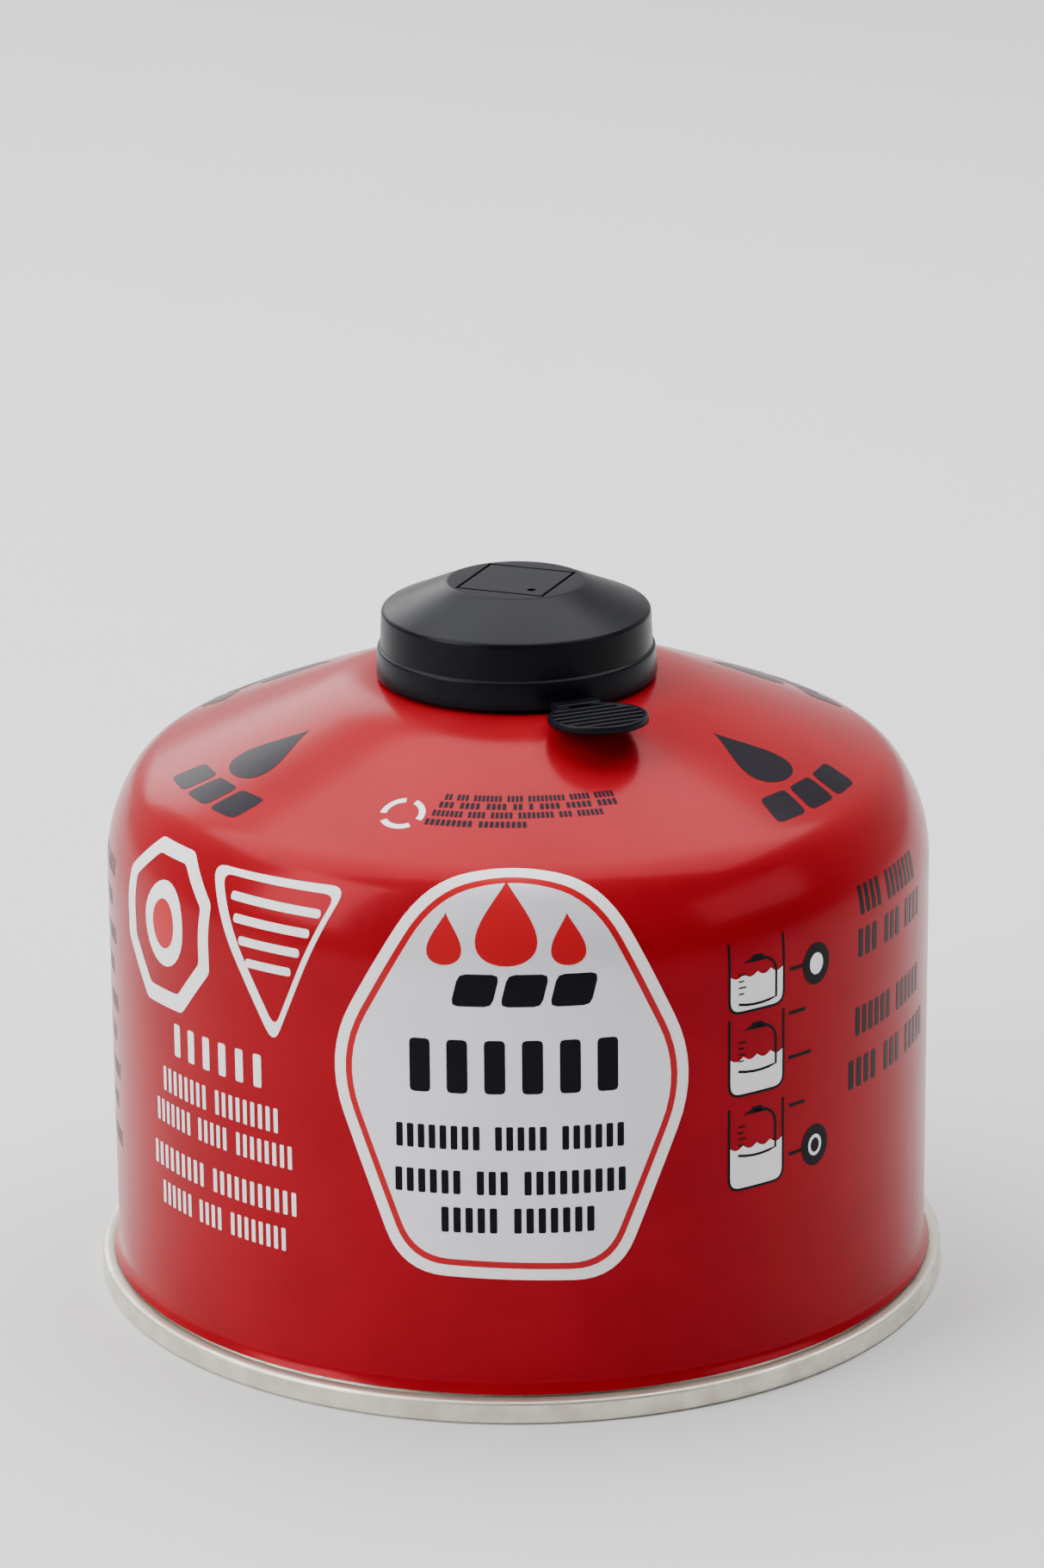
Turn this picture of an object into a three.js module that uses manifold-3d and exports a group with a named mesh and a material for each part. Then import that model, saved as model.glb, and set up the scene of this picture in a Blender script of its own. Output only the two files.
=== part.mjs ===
// A camping gas canister: a drawn steel can with a domed shoulder, a bottom end seamed on,
// a valve cup crimped into the neck with a threaded boss and a sprung valve, and a push-on
// plastic cap with a lift tab.
// Millimetres, +Z up. The origin is on the axis, at the underside of the seam it stands on.
import * as THREE from 'three';
import { mergeVertices } from 'three/addons/utils/BufferGeometryUtils.js';
import Module from 'manifold-3d';

// Drawn can: a straight wall, two knuckle arcs, a shallow crown and a neck that levels out
const WALL_R = 52.7;
const WALL_TOP_Z = 55.7;
const KNUCKLE_R = 19.4;
const KNUCKLE_DEG = 32.7;
const SHOULDER_R = 8.3;
const SHOULDER_DEG = 65.7;
const CROWN_DEG = 70.1;
const NECK_ARC_R = 29;
const FLARE_OUT = 0.65;
const FLARE_H = 1.8;

// Curl at the can's opening
const OPENING_R = 13;
const BEAD_W = 2.1;
const BEAD_H = 3;
const BEAD_ROUND = 0.5;
const NECK_FLAT = 0.4;

// Bottom end and its seam
const SEAM_PROUD = 2.3;
const SEAM_H = 3;
const SEAM_ROUND = 0.6;
const SEAM_W = 2.2;
const END_T = 0.5;
const PANEL_INSET = 3.2;
const CHUCK_TOP_Z = 6;
const PANEL_RISE = 6.5;

// Valve cup with its threaded boss
const CUP_T = 0.4;
const CUP_DEPTH = 5.5;
const CUP_ROUND = 0.6;
const CUP_FILLET = 0.8;
const CUP_SKIRT_LIFT = 1.2;
const BOSS_R = 5.55;
const BOSS_H = 9.6;
const BOSS_WALL = 0.85;
const BOSS_LID = 0.7;
const BOSS_CHAMFER = 0.4;
const BOSS_HOLE_R = 2.3;

// Seals
const NECK_GASKET_T = 0.6;
const STEM_GASKET_T = 0.8;

// Valve: housing, stem and spring
const HOUSING_H = 10.3;
const HOUSING_WALL = 0.8;
const HOUSING_FLOOR = 1;
const INLET_R = 0.9;
const NOSE_R = 1.4;
const NOSE_BELOW_LID = 0.3;
const HEAD_R = 2.9;
const HEAD_H = 1.3;
const TAIL_R = 1.1;
const TAIL_H = 3.7;
const SPRING_R = 2.2;
const SPRING_WIRE = 0.6;
const SPRING_TURNS = 6;

// Cap
const CAP_WALL = 1.7;
const BAND_H = 3.9;
const BAND_STEP = 0.35;
const SKIRT_H = 4.6;
const SKIRT_WALL = 1.3;
const CAP_DRAFT = 0.2;
const CONE_H = 3.55;
const DISC_R = 8.8;
const CAP_TOP_T = 1.2;
const STOP_IN = 1.3;
const STOP_H = 0.9;
const EDGE_ROUND = 0.5;
const GROOVE_W = 0.4;
const GROOVE_DEEP = 0.3;
const GROOVE_FROM_RIM = 0.4;
const VENT_R = 0.55;
const VENT_FROM_AXIS = 4.9;

// Lift tab, moulded on the cap's lower edge
const TAB_AZ = 23.5;
const TAB_R = 6.3;
const TAB_T = 0.7;
const TAB_GAP = 0.9;
const TAB_TILT = 3;
const RIM_W = 0.7;
const RIB_H = 0.3;
const RIB_W = 0.55;
const RIB_PITCH = 1.65;
const RIB_COUNT = 6;
const TAB_NECK_W = 6.6;
const TAB_NECK_T = 1.2;

// Running clearances
const GAP = 0.3;
const SEAT_GAP = 0.1;
const CAP_CLEAR = 0.4;

// Facets
const CAN_SIDES = 56;
const CAP_SIDES = 48;
const VALVE_SIDES = 24;
const VENT_SIDES = 12;
const ARC_STEPS = 3;
const SMALL_ARC_STEPS = 2;
const KNUCKLE_STEPS = 5;
const CROWN_STEPS = 2;
const PANEL_STEPS = 4;
const TAB_QUARTER_STEPS = 9;
const WIRE_QUARTER_STEPS = 2;
const STEPS_PER_TURN = 12;
const WELD = 1e-5;

const rad = THREE.MathUtils.degToRad;

// Heights and radii that follow from the sizes above
const beadR = OPENING_R + BEAD_W;
const neckR = beadR + NECK_FLAT;
const crownR = (WALL_R - KNUCKLE_R * (1 - Math.cos(rad(KNUCKLE_DEG)))
  - SHOULDER_R * (Math.cos(rad(KNUCKLE_DEG)) - Math.cos(rad(SHOULDER_DEG)))
  - NECK_ARC_R * Math.cos(rad(CROWN_DEG)) - neckR)
  / (Math.cos(rad(SHOULDER_DEG)) - Math.cos(rad(CROWN_DEG)));
const neckZ = WALL_TOP_Z + KNUCKLE_R * Math.sin(rad(KNUCKLE_DEG))
  + SHOULDER_R * (Math.sin(rad(SHOULDER_DEG)) - Math.sin(rad(KNUCKLE_DEG)))
  + crownR * (Math.sin(rad(CROWN_DEG)) - Math.sin(rad(SHOULDER_DEG)))
  + NECK_ARC_R * (1 - Math.sin(rad(CROWN_DEG)));
const beadZ = neckZ + BEAD_H;
const seamR = WALL_R + SEAM_PROUD;
const cupCeilingZ = beadZ + NECK_GASKET_T;
const cupTopZ = cupCeilingZ + CUP_T;
const cupR = beadR + GAP + CUP_T;
const cupWallR = OPENING_R - GAP;
const cupFloorZ = cupTopZ - CUP_DEPTH;
const bossTopZ = cupFloorZ + BOSS_H;
const bossBoreR = BOSS_R - BOSS_WALL;
const lidZ = bossTopZ - BOSS_LID;
const housingTopZ = lidZ - STEM_GASKET_T;
const housingZ = housingTopZ - HOUSING_H;
const housingFloorZ = housingZ + HOUSING_FLOOR;
const housingR = bossBoreR - GAP;
const headTopZ = housingTopZ - SEAT_GAP;
const headZ = headTopZ - HEAD_H;
const capZ = neckZ + GAP;
const capBoreR = cupR + CAP_CLEAR;
const bandR = capBoreR + CAP_WALL;
const bandTopZ = capZ + BAND_H;
const skirtR = bandR - CAP_DRAFT - BAND_STEP;
const skirtTopR = skirtR - CAP_DRAFT;
const skirtTopZ = bandTopZ + SKIRT_H;
const capTopZ = skirtTopZ + CONE_H;
const stopZ = cupTopZ + GAP;
const tabAngle = rad(TAB_AZ - 90);

const P = (r, z) => new THREE.Vector2(r, z);

// Points of a rounded corner between two runs, as a quadratic curve about the corner
function corner(from, at, to, steps = ARC_STEPS) {
  return new THREE.QuadraticBezierCurve(from, at, to).getPoints(steps);
}

// The solid of revolution of a profile that runs anticlockwise in (radius, height)
function turned(points, sides) {
  const geometry = new THREE.LatheGeometry(points, sides);
  geometry.rotateX(Math.PI / 2);
  return geometry;
}

// Outside of the can from the top of the wall to the neck, as tangent arcs
function domeProfile() {
  const arcs = [
    [KNUCKLE_R, 0, KNUCKLE_DEG, KNUCKLE_STEPS],
    [SHOULDER_R, KNUCKLE_DEG, SHOULDER_DEG, KNUCKLE_STEPS],
    [crownR, SHOULDER_DEG, CROWN_DEG, CROWN_STEPS],
    [NECK_ARC_R, CROWN_DEG, 90, ARC_STEPS],
  ];
  const points = [P(WALL_R, WALL_TOP_Z)];
  for (const [radius, fromDeg, toDeg, steps] of arcs) {
    const start = points.at(-1);
    const centre = P(start.x - radius * Math.cos(rad(fromDeg)), start.y - radius * Math.sin(rad(fromDeg)));
    for (let i = 1; i <= steps; i += 1) {
      const angle = rad(fromDeg + (toDeg - fromDeg) * i / steps);
      points.push(P(centre.x + radius * Math.cos(angle), centre.y + radius * Math.sin(angle)));
    }
  }
  return points;
}

// Upper side of the bottom end, raised by a clearance: concave panel, chuck wall, seam top
function endUpperSide(clearance) {
  const panelR = WALL_R - PANEL_INSET;
  const sphereR = (panelR ** 2 + PANEL_RISE ** 2) / (2 * PANEL_RISE);
  const points = [];
  for (let i = 0; i <= PANEL_STEPS; i += 1) {
    const r = panelR * i / PANEL_STEPS;
    const z = CHUCK_TOP_Z + PANEL_RISE - sphereR + Math.sqrt(sphereR ** 2 - r ** 2);
    points.push(P(r, z + clearance));
  }
  const shoulder = P(seamR - SEAM_W - END_T - SEAM_ROUND / 2 + clearance,
    CHUCK_TOP_Z - END_T + clearance);
  const foot = P(seamR - SEAM_W + clearance, SEAM_H - SEAM_ROUND / 2 + clearance);
  points.push(...corner(points.at(-1), shoulder, foot).slice(1));
  return points;
}

// The can and the liquid fuel inside it, with the pocket that the valve hangs in
function canBody() {
  const base = endUpperSide(GAP);
  const foot = base.at(-1);
  const wallFoot = P(WALL_R + FLARE_OUT, SEAM_H + GAP);
  const profile = [...base.slice(0, -1), P(foot.x, wallFoot.y),
    ...corner(wallFoot, P(WALL_R, SEAM_H + GAP + FLARE_H / 2), P(WALL_R, SEAM_H + GAP + FLARE_H)),
    ...domeProfile(),
    P(beadR, neckZ),
    ...corner(P(beadR, beadZ - BEAD_ROUND), P(beadR, beadZ), P(beadR - BEAD_ROUND, beadZ),
      SMALL_ARC_STEPS),
    ...corner(P(OPENING_R + BEAD_ROUND, beadZ), P(OPENING_R, beadZ), P(OPENING_R, beadZ - BEAD_ROUND),
      SMALL_ARC_STEPS),
    P(OPENING_R, cupFloorZ - CUP_T - GAP),
    P(housingR + GAP, cupFloorZ - CUP_T - GAP),
    P(housingR + GAP, housingZ - GAP),
    P(0, housingZ - GAP)];
  return turned(profile, CAN_SIDES);
}

// Concave bottom end with the double seam as its rim
function bottomEnd() {
  const upper = endUpperSide(0);
  const lower = endUpperSide(0).map((point) => P(Math.max(point.x - END_T * point.x / WALL_R, 0),
    point.y - END_T)).slice(0, -1);
  const seamIn = seamR - SEAM_W;
  const profile = [...lower,
    P(seamIn - END_T, SEAM_ROUND),
    ...corner(P(seamIn - END_T / 2, SEAM_ROUND / 2), P(seamIn, 0), P(seamIn + SEAM_ROUND, 0),
      SMALL_ARC_STEPS),
    ...corner(P(seamR - SEAM_ROUND, 0), P(seamR, 0), P(seamR, SEAM_ROUND)),
    ...corner(P(seamR, SEAM_H - SEAM_ROUND), P(seamR, SEAM_H), P(seamR - SEAM_ROUND, SEAM_H)),
    P(seamIn + SEAM_ROUND / 2, SEAM_H),
    ...upper.reverse()];
  return turned(profile, CAN_SIDES);
}

// Pressed cup that closes the neck, crimped over the bead, with the boss drawn up in it
function mountingCup() {
  const skirtZ = neckZ + CUP_SKIRT_LIFT;
  const innerR = cupWallR - CUP_T;
  const outerBendR = beadR + GAP;
  const profile = [
    P(bossBoreR, cupFloorZ - CUP_T),
    ...corner(P(cupWallR - CUP_FILLET, cupFloorZ - CUP_T), P(cupWallR, cupFloorZ - CUP_T),
      P(cupWallR, cupFloorZ - CUP_T + CUP_FILLET), SMALL_ARC_STEPS),
    P(cupWallR, cupCeilingZ),
    P(outerBendR, cupCeilingZ),
    P(outerBendR, skirtZ),
    P(cupR, skirtZ),
    ...corner(P(cupR, cupTopZ - CUP_ROUND), P(cupR, cupTopZ), P(cupR - CUP_ROUND, cupTopZ)),
    ...corner(P(innerR + CUP_ROUND, cupTopZ), P(innerR, cupTopZ), P(innerR, cupTopZ - CUP_ROUND)),
    ...corner(P(innerR, cupFloorZ + CUP_FILLET), P(innerR, cupFloorZ), P(innerR - CUP_FILLET, cupFloorZ),
      SMALL_ARC_STEPS),
    ...corner(P(BOSS_R + CUP_FILLET, cupFloorZ), P(BOSS_R, cupFloorZ), P(BOSS_R, cupFloorZ + CUP_FILLET),
      SMALL_ARC_STEPS),
    P(BOSS_R, bossTopZ - BOSS_CHAMFER),
    P(BOSS_R - BOSS_CHAMFER, bossTopZ),
    P(BOSS_HOLE_R, bossTopZ),
    P(BOSS_HOLE_R, lidZ),
    P(bossBoreR, lidZ),
    P(bossBoreR, cupFloorZ - CUP_T)];
  return turned(profile, CAP_SIDES);
}

function ring(innerR, outerR, lowZ, highZ) {
  const profile = [P(innerR, lowZ), P(outerR, lowZ), P(outerR, highZ), P(innerR, highZ), P(innerR, lowZ)];
  return turned(profile, VALVE_SIDES);
}

function neckGasket() {
  return ring(OPENING_R + BEAD_ROUND + SEAT_GAP, beadR - BEAD_ROUND - SEAT_GAP, beadZ, cupCeilingZ);
}

function stemGasket() {
  return ring(NOSE_R + GAP, housingR, housingTopZ, lidZ);
}

// Moulded cup that holds the spring and stem against the seal, with its inlet in the floor
function valveHousing() {
  const boreR = housingR - HOUSING_WALL;
  const profile = [P(INLET_R, housingZ), P(housingR, housingZ), P(housingR, housingTopZ),
    P(boreR, housingTopZ), P(boreR, housingFloorZ), P(INLET_R, housingFloorZ), P(INLET_R, housingZ)];
  return turned(profile, VALVE_SIDES);
}

// Plunger: a nose through the seal, a head that closes it and a tail inside the spring
function valveStem() {
  const noseZ = bossTopZ - NOSE_BELOW_LID;
  const profile = [P(0, headZ - TAIL_H), P(TAIL_R, headZ - TAIL_H), P(TAIL_R, headZ), P(HEAD_R, headZ),
    P(HEAD_R, headTopZ), P(NOSE_R, headTopZ), P(NOSE_R, noseZ), P(0, noseZ)];
  return turned(profile, VALVE_SIDES);
}

class Coil extends THREE.Curve {
  constructor(radius, lowZ, highZ, turns) {
    super();
    Object.assign(this, { radius, lowZ, highZ, turns });
  }

  getPoint(t, target = new THREE.Vector3()) {
    const angle = 2 * Math.PI * this.turns * t;
    const z = this.lowZ + (this.highZ - this.lowZ) * t;
    return target.set(this.radius * Math.cos(angle), this.radius * Math.sin(angle), z);
  }
}

// Compression spring between the housing's floor and the stem's head
function valveSpring() {
  const wireR = SPRING_WIRE / 2;
  const path = new Coil(SPRING_R, housingFloorZ + SEAT_GAP + wireR, headZ - SEAT_GAP - wireR, SPRING_TURNS);
  const section = new THREE.Shape();
  section.absarc(0, 0, wireR, 0, 2 * Math.PI);
  return new THREE.ExtrudeGeometry(section, {
    extrudePath: path, steps: SPRING_TURNS * STEPS_PER_TURN, curveSegments: 2 * WIRE_QUARTER_STEPS,
  });
}

const wasm = await Module();
wasm.setup();

// A closed geometry as a solid that can be joined and cut
function solid(geometry) {
  const bare = geometry.index ? geometry.clone() : mergeVertices(geometry);
  bare.deleteAttribute('normal');
  bare.deleteAttribute('uv');
  const merged = mergeVertices(bare, WELD);
  const triangles = [];
  for (let i = 0; i < merged.index.count; i += 3) {
    const [a, b, c] = [0, 1, 2].map((k) => merged.index.getX(i + k));
    if (a !== b && b !== c && c !== a) triangles.push(a, b, c);
  }
  return new wasm.Manifold(new wasm.Mesh({
    numProp: 3,
    vertProperties: new Float32Array(merged.attributes.position.array),
    triVerts: new Uint32Array(triangles),
  }));
}

function geometryOf(shape) {
  const mesh = shape.getMesh();
  const geometry = new THREE.BufferGeometry();
  geometry.setAttribute('position', new THREE.BufferAttribute(mesh.vertProperties, 3));
  geometry.setIndex(new THREE.BufferAttribute(mesh.triVerts, 1));
  return geometry;
}

// The cap's shell: lower band, step, skirt, cone and disc, with a stop that seats on the cup
function capShell() {
  const skirtBoreR = skirtR - SKIRT_WALL;
  const coneIn = P(skirtBoreR - CAP_DRAFT, skirtTopZ - CAP_TOP_T + BAND_STEP);
  const coneStart = P(skirtTopR - EDGE_ROUND, skirtTopZ + EDGE_ROUND * CONE_H / (skirtTopR - DISC_R));
  const profile = [P(capBoreR, capZ), P(bandR, capZ), P(bandR - CAP_DRAFT, bandTopZ - BAND_STEP),
    P(skirtR, bandTopZ),
    ...corner(P(skirtTopR, skirtTopZ - EDGE_ROUND), P(skirtTopR, skirtTopZ), coneStart),
    P(DISC_R, capTopZ),
    P(0, capTopZ),
    P(0, capTopZ - CAP_TOP_T),
    P(DISC_R - CAP_TOP_T / 2, capTopZ - CAP_TOP_T),
    coneIn,
    P(skirtBoreR, stopZ + STOP_H),
    P(capBoreR - STOP_IN, stopZ + STOP_H),
    P(capBoreR - STOP_IN, stopZ),
    P(capBoreR, stopZ),
    P(capBoreR, capZ)];
  // The part of the profile between the two points on the axis closes along it
  const start = profile.findIndex((point) => point.x === 0 && point.y < capTopZ);
  const ordered = [...profile.slice(start), ...profile.slice(1, start)];
  return turned(ordered, CAP_SIDES);
}

// Round ribbed tab and its short neck, drawn at the axis with the radial direction along +X
function liftTab() {
  const centreR = bandR + TAB_GAP + TAB_R;
  const outline = new THREE.Shape();
  outline.absarc(0, 0, TAB_R, 0, 2 * Math.PI);
  const flat = { bevelEnabled: false, curveSegments: 2 * TAB_QUARTER_STEPS };
  const plate = new THREE.ExtrudeGeometry(outline, { ...flat, depth: TAB_T });
  let tab = solid(plate);
  const rimOutline = outline.clone();
  const inner = new THREE.Path();
  inner.absarc(0, 0, TAB_R - RIM_W, 0, 2 * Math.PI, true);
  rimOutline.holes.push(inner);
  const rim = new THREE.ExtrudeGeometry(rimOutline, { ...flat, depth: TAB_T + RIB_H });
  tab = tab.add(solid(rim));
  for (let i = 0; i < RIB_COUNT; i += 1) {
    const x = (i - (RIB_COUNT - 1) / 2) * RIB_PITCH;
    const half = Math.sqrt((TAB_R - RIM_W / 2) ** 2 - (Math.abs(x) + RIB_W / 2) ** 2);
    const rib = new THREE.BoxGeometry(RIB_W, 2 * half, TAB_T / 2 + RIB_H);
    rib.translate(x, 0, TAB_T + (RIB_H - TAB_T / 2) / 2);
    tab = tab.add(solid(rib));
  }
  // The tab rises slightly towards its outer end, turning about its inner edge
  tab = tab.translate([TAB_R, 0, 0]).rotate([0, -TAB_TILT, 0]).translate([centreR - TAB_R, 0, capZ]);
  const neckIn = capBoreR + CAP_WALL / 2;
  const neckOut = bandR + TAB_GAP + RIM_W;
  const neck = new THREE.BoxGeometry(neckOut - neckIn, TAB_NECK_W, TAB_NECK_T);
  neck.translate((neckIn + neckOut) / 2, 0, capZ + TAB_NECK_T / 2);
  return tab.add(solid(neck));
}

// The square line and the vent hole in the disc; a corner of the square points to the tab
function discCuts() {
  const half = (DISC_R - GROOVE_FROM_RIM) / Math.SQRT2;
  const square = (side) => [P(-side, -side), P(side, -side), P(side, side), P(-side, side)];
  const outline = new THREE.Shape(square(half));
  outline.holes.push(new THREE.Path(square(half - GROOVE_W).reverse()));
  const groove = new THREE.ExtrudeGeometry(outline, { depth: 2 * GROOVE_DEEP, bevelEnabled: false });
  groove.rotateZ(Math.PI / 4);
  groove.translate(0, 0, capTopZ - GROOVE_DEEP);
  const vent = new THREE.CylinderGeometry(VENT_R, VENT_R, 2 * CAP_TOP_T, VENT_SIDES);
  vent.rotateX(Math.PI / 2);
  vent.translate(VENT_FROM_AXIS, 0, capTopZ - CAP_TOP_T / 2);
  return [solid(groove), solid(vent)];
}

function cap() {
  const [groove, vent] = discCuts();
  const turnedShell = solid(capShell()).rotate([0, 0, 90 - TAB_AZ]);
  const whole = turnedShell.add(liftTab()).subtract(groove).subtract(vent);
  const geometry = geometryOf(whole);
  geometry.rotateZ(tabAngle);
  return geometry;
}

const litho = new THREE.MeshStandardMaterial({ color: 0xb5242c, roughness: 0.25, metalness: 0.1 });
const tinplate = new THREE.MeshStandardMaterial({ color: 0xb9b7ae, roughness: 0.35, metalness: 0.9 });
const rubber = new THREE.MeshStandardMaterial({ color: 0x1c1c1d, roughness: 0.8, metalness: 0 });
const acetal = new THREE.MeshStandardMaterial({ color: 0xe8e6df, roughness: 0.45, metalness: 0 });
const steelWire = new THREE.MeshStandardMaterial({ color: 0x9fa3a7, roughness: 0.3, metalness: 1 });
const capPlastic = new THREE.MeshStandardMaterial({ color: 0x202127, roughness: 0.4, metalness: 0 });

const pieces = [
  ['can_body', canBody(), litho],
  ['bottom_end', bottomEnd(), tinplate],
  ['mounting_cup', mountingCup(), tinplate],
  ['neck_gasket', neckGasket(), rubber],
  ['stem_gasket', stemGasket(), rubber],
  ['valve_housing', valveHousing(), acetal],
  ['valve_stem', valveStem(), acetal],
  ['valve_spring', valveSpring(), steelWire],
  ['cap', cap(), capPlastic],
];

const group = new THREE.Group();
for (const [name, geometry, material] of pieces) {
  const mesh = new THREE.Mesh(geometry, material);
  mesh.name = name;
  group.add(mesh);
}

export default group;
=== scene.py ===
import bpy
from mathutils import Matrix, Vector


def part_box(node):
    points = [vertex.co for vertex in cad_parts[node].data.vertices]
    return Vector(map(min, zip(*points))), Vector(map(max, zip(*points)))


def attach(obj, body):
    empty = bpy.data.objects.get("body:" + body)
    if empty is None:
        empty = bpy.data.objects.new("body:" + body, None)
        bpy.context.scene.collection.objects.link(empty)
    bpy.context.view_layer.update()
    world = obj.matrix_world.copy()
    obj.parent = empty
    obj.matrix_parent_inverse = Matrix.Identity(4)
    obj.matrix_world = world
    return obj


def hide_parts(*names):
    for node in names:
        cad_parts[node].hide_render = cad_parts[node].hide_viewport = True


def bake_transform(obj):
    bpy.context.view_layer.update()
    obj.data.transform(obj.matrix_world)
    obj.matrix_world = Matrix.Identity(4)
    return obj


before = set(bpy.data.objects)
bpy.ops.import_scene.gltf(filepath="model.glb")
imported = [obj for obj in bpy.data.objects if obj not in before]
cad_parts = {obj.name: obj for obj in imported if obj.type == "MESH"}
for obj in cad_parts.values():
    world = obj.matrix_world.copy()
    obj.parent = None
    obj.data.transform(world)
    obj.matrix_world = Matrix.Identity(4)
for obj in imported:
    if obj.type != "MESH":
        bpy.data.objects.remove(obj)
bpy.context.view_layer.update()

# %% [markdown]
# # A squat gas canister, cell by cell
# A drawn steel can with a domed shoulder, a bottom end seamed on, a pressed valve cup crimped into
# its neck and a plastic cap over the valve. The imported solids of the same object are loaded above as
# a frame, in metres, with +Z up and the front of the print on -Y. Every piece is made in that frame,
# so nothing has to be moved into place.

# %% Libraries, the unit that the sizes are written in, and two small helpers
import math

import bmesh
import bpy
from mathutils import Matrix, Vector
from mathutils.geometry import tessellate_polygon

MM = 0.001


def show(piece):
    """Prints a piece's name, size and face count, so that each cell says what it made."""
    print(piece.name, "faces", len(piece.data.polygons),
          "size mm", [round(v / MM, 2) for v in piece.dimensions])


def ring(x, y, rx, ry, steps):
    """Points of a circle or an ellipse."""
    angles = [math.tau * i / steps for i in range(steps)]
    return [(x + rx * math.cos(a), y + ry * math.sin(a)) for a in angles]


# %% [markdown]
# ## The camera
# The photograph was taken from close by and a little above. A pinhole camera was fitted to the
# ellipses of the seam, the cap's lower band and its disc: that gives where it stood, how far it
# looked down and its focal length. Its tiny roll is turned about the line of sight.

# %% Camera
CAMERA_AT = Vector((0.0, -0.693, 0.292))
PITCH_DOWN = math.radians(18.17)
AIM_RIGHT = 0.00055
ROLL = math.radians(-0.5)
FOCAL_PIXELS = 6616
LONG_SIDE_PIXELS = 1821
SENSOR = 36.0

aim = Vector((AIM_RIGHT, 0.0, CAMERA_AT.z + CAMERA_AT.y * math.tan(PITCH_DOWN)))
level = (aim - CAMERA_AT).to_track_quat("-Z", "Y").to_matrix().to_4x4()
camera_data = bpy.data.cameras.new("camera")
camera_data.lens = SENSOR * FOCAL_PIXELS / LONG_SIDE_PIXELS
camera_data.sensor_width = SENSOR
camera_data.clip_start = 0.01
camera = bpy.data.objects.new("camera", camera_data)
bpy.context.collection.objects.link(camera)
camera.matrix_world = Matrix.Translation(CAMERA_AT) @ level @ Matrix.Rotation(ROLL, 4, "Z")
bpy.context.scene.camera = camera
print("lens", round(camera_data.lens, 1), "mm at", [round(v, 3) for v in CAMERA_AT])

# %% [markdown]
# ## Helpers for node trees
# Blender works in linear light, but colours are easier to pick as the sRGB hex values of a paint
# program, so one function turns them round. A second one adds a node, sets its settings and fills
# its inputs, each with a value or with a link from another node.

# %% Helpers: colours and nodes
def colour(text):
    """A linear RGBA colour from an sRGB hex text such as #b3161f."""
    parts = [int(text[i:i + 2], 16) / 255 for i in (1, 3, 5)]
    linear = [c / 12.92 if c <= 0.04045 else ((c + 0.055) / 1.055) ** 2.4 for c in parts]
    return (*linear, 1.0)


def add(tree, kind, inputs=None, **settings):
    """Adds a node. An input takes a value, a socket, or a node, which gives its first output."""
    node = tree.nodes.new(kind)
    for name, value in settings.items():
        setattr(node, name, value)
    for key, value in (inputs or {}).items():
        if isinstance(value, bpy.types.Node):
            value = value.outputs[0]
        if isinstance(value, bpy.types.NodeSocket):
            tree.links.new(value, node.inputs[key])
        else:
            node.inputs[key].default_value = value
    return node


print("red ink in linear light", [round(c, 3) for c in colour("#b3161f")])

# %% Helpers: what every material here is made from
def new_material(name):
    """An empty node material, its tree, and the places on the object that patterns are laid on."""
    material = bpy.data.materials.new(name)
    material.use_nodes = True
    tree = material.node_tree
    tree.nodes.clear()
    return material, tree, add(tree, "ShaderNodeTexCoord").outputs["Object"]


def noise(tree, where, scale, detail=2.0):
    """A noise pattern. Its blotches are about 1 / scale metres across."""
    return add(tree, "ShaderNodeTexNoise", {"Vector": where, "Scale": scale, "Detail": detail})


def tones(tree, pattern, low, high, dark, light):
    """Colours a pattern, dark up to its low value and light from its high value on."""
    ramp = add(tree, "ShaderNodeValToRGB", {"Fac": pattern})
    for stop, position, rgba in zip(ramp.color_ramp.elements, (low, high), (dark, light)):
        stop.position = position
        stop.color = rgba
    return ramp


def spread(tree, value, low, high, to_low, to_high):
    """Maps a value from one range to another."""
    return add(tree, "ShaderNodeMapRange", {"Value": value, "From Min": low, "From Max": high,
               "To Min": to_low, "To Max": to_high})


def relief(tree, pattern, strength, depth_mm):
    """A bump of a given depth."""
    return add(tree, "ShaderNodeBump", {"Height": pattern, "Strength": strength,
               "Distance": depth_mm * MM})


def shaded(material, inputs):
    """Ends a material in a Principled shader."""
    shader = add(material.node_tree, "ShaderNodeBsdfPrincipled", inputs)
    add(material.node_tree, "ShaderNodeOutputMaterial", {"Surface": shader})
    print("made", material.name)
    return material


# %% [markdown]
# ## Lithographed tinplate
# The can is tinplate: thin steel with a bright tin skin. The red is a printing ink under a clear
# varnish, so the eye sees a deep colour with a soft gloss over it. A Principled shader gives that as
# a slightly metallic base under a thin clear coat. Rolled varnish is never quite level: a soft bump
# with waves of 3 to 4 mm bends the reflections a little, and handling scuffs of about half a
# millimetre make it uneven. White, silver and black share the varnish. The silver is a metallic ink:
# fine aluminium flakes in a clear binder, satin and a little grey.

# %% Materials: the printing inks
def varnished(name, hex_text, metallic, rough, coat, thinned=0.9, sheen="#ffffff"):
    """Ink on tin under clear varnish. Thinned is how light the ink's thin places are."""
    material, tree, where = new_material(name)
    full = colour(hex_text)
    thin = (*(c * thinned for c in full[:3]), 1.0)
    film, scuffs = noise(tree, where, 90.0, 3.0), noise(tree, where, 1900.0, 4.0)
    return shaded(material, {
        "Base Color": tones(tree, film, 0.3, 0.6, thin, full), "Metallic": metallic,
        "Roughness": spread(tree, scuffs, 0.35, 0.75, rough * 0.95, rough * 1.1),
        "Specular IOR Level": 0.1, "Specular Tint": colour(sheen),
        "Coat Weight": coat, "Coat Roughness": 0.06,
        "Normal": relief(tree, noise(tree, where, 280.0), 0.05, 0.3)})


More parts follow.
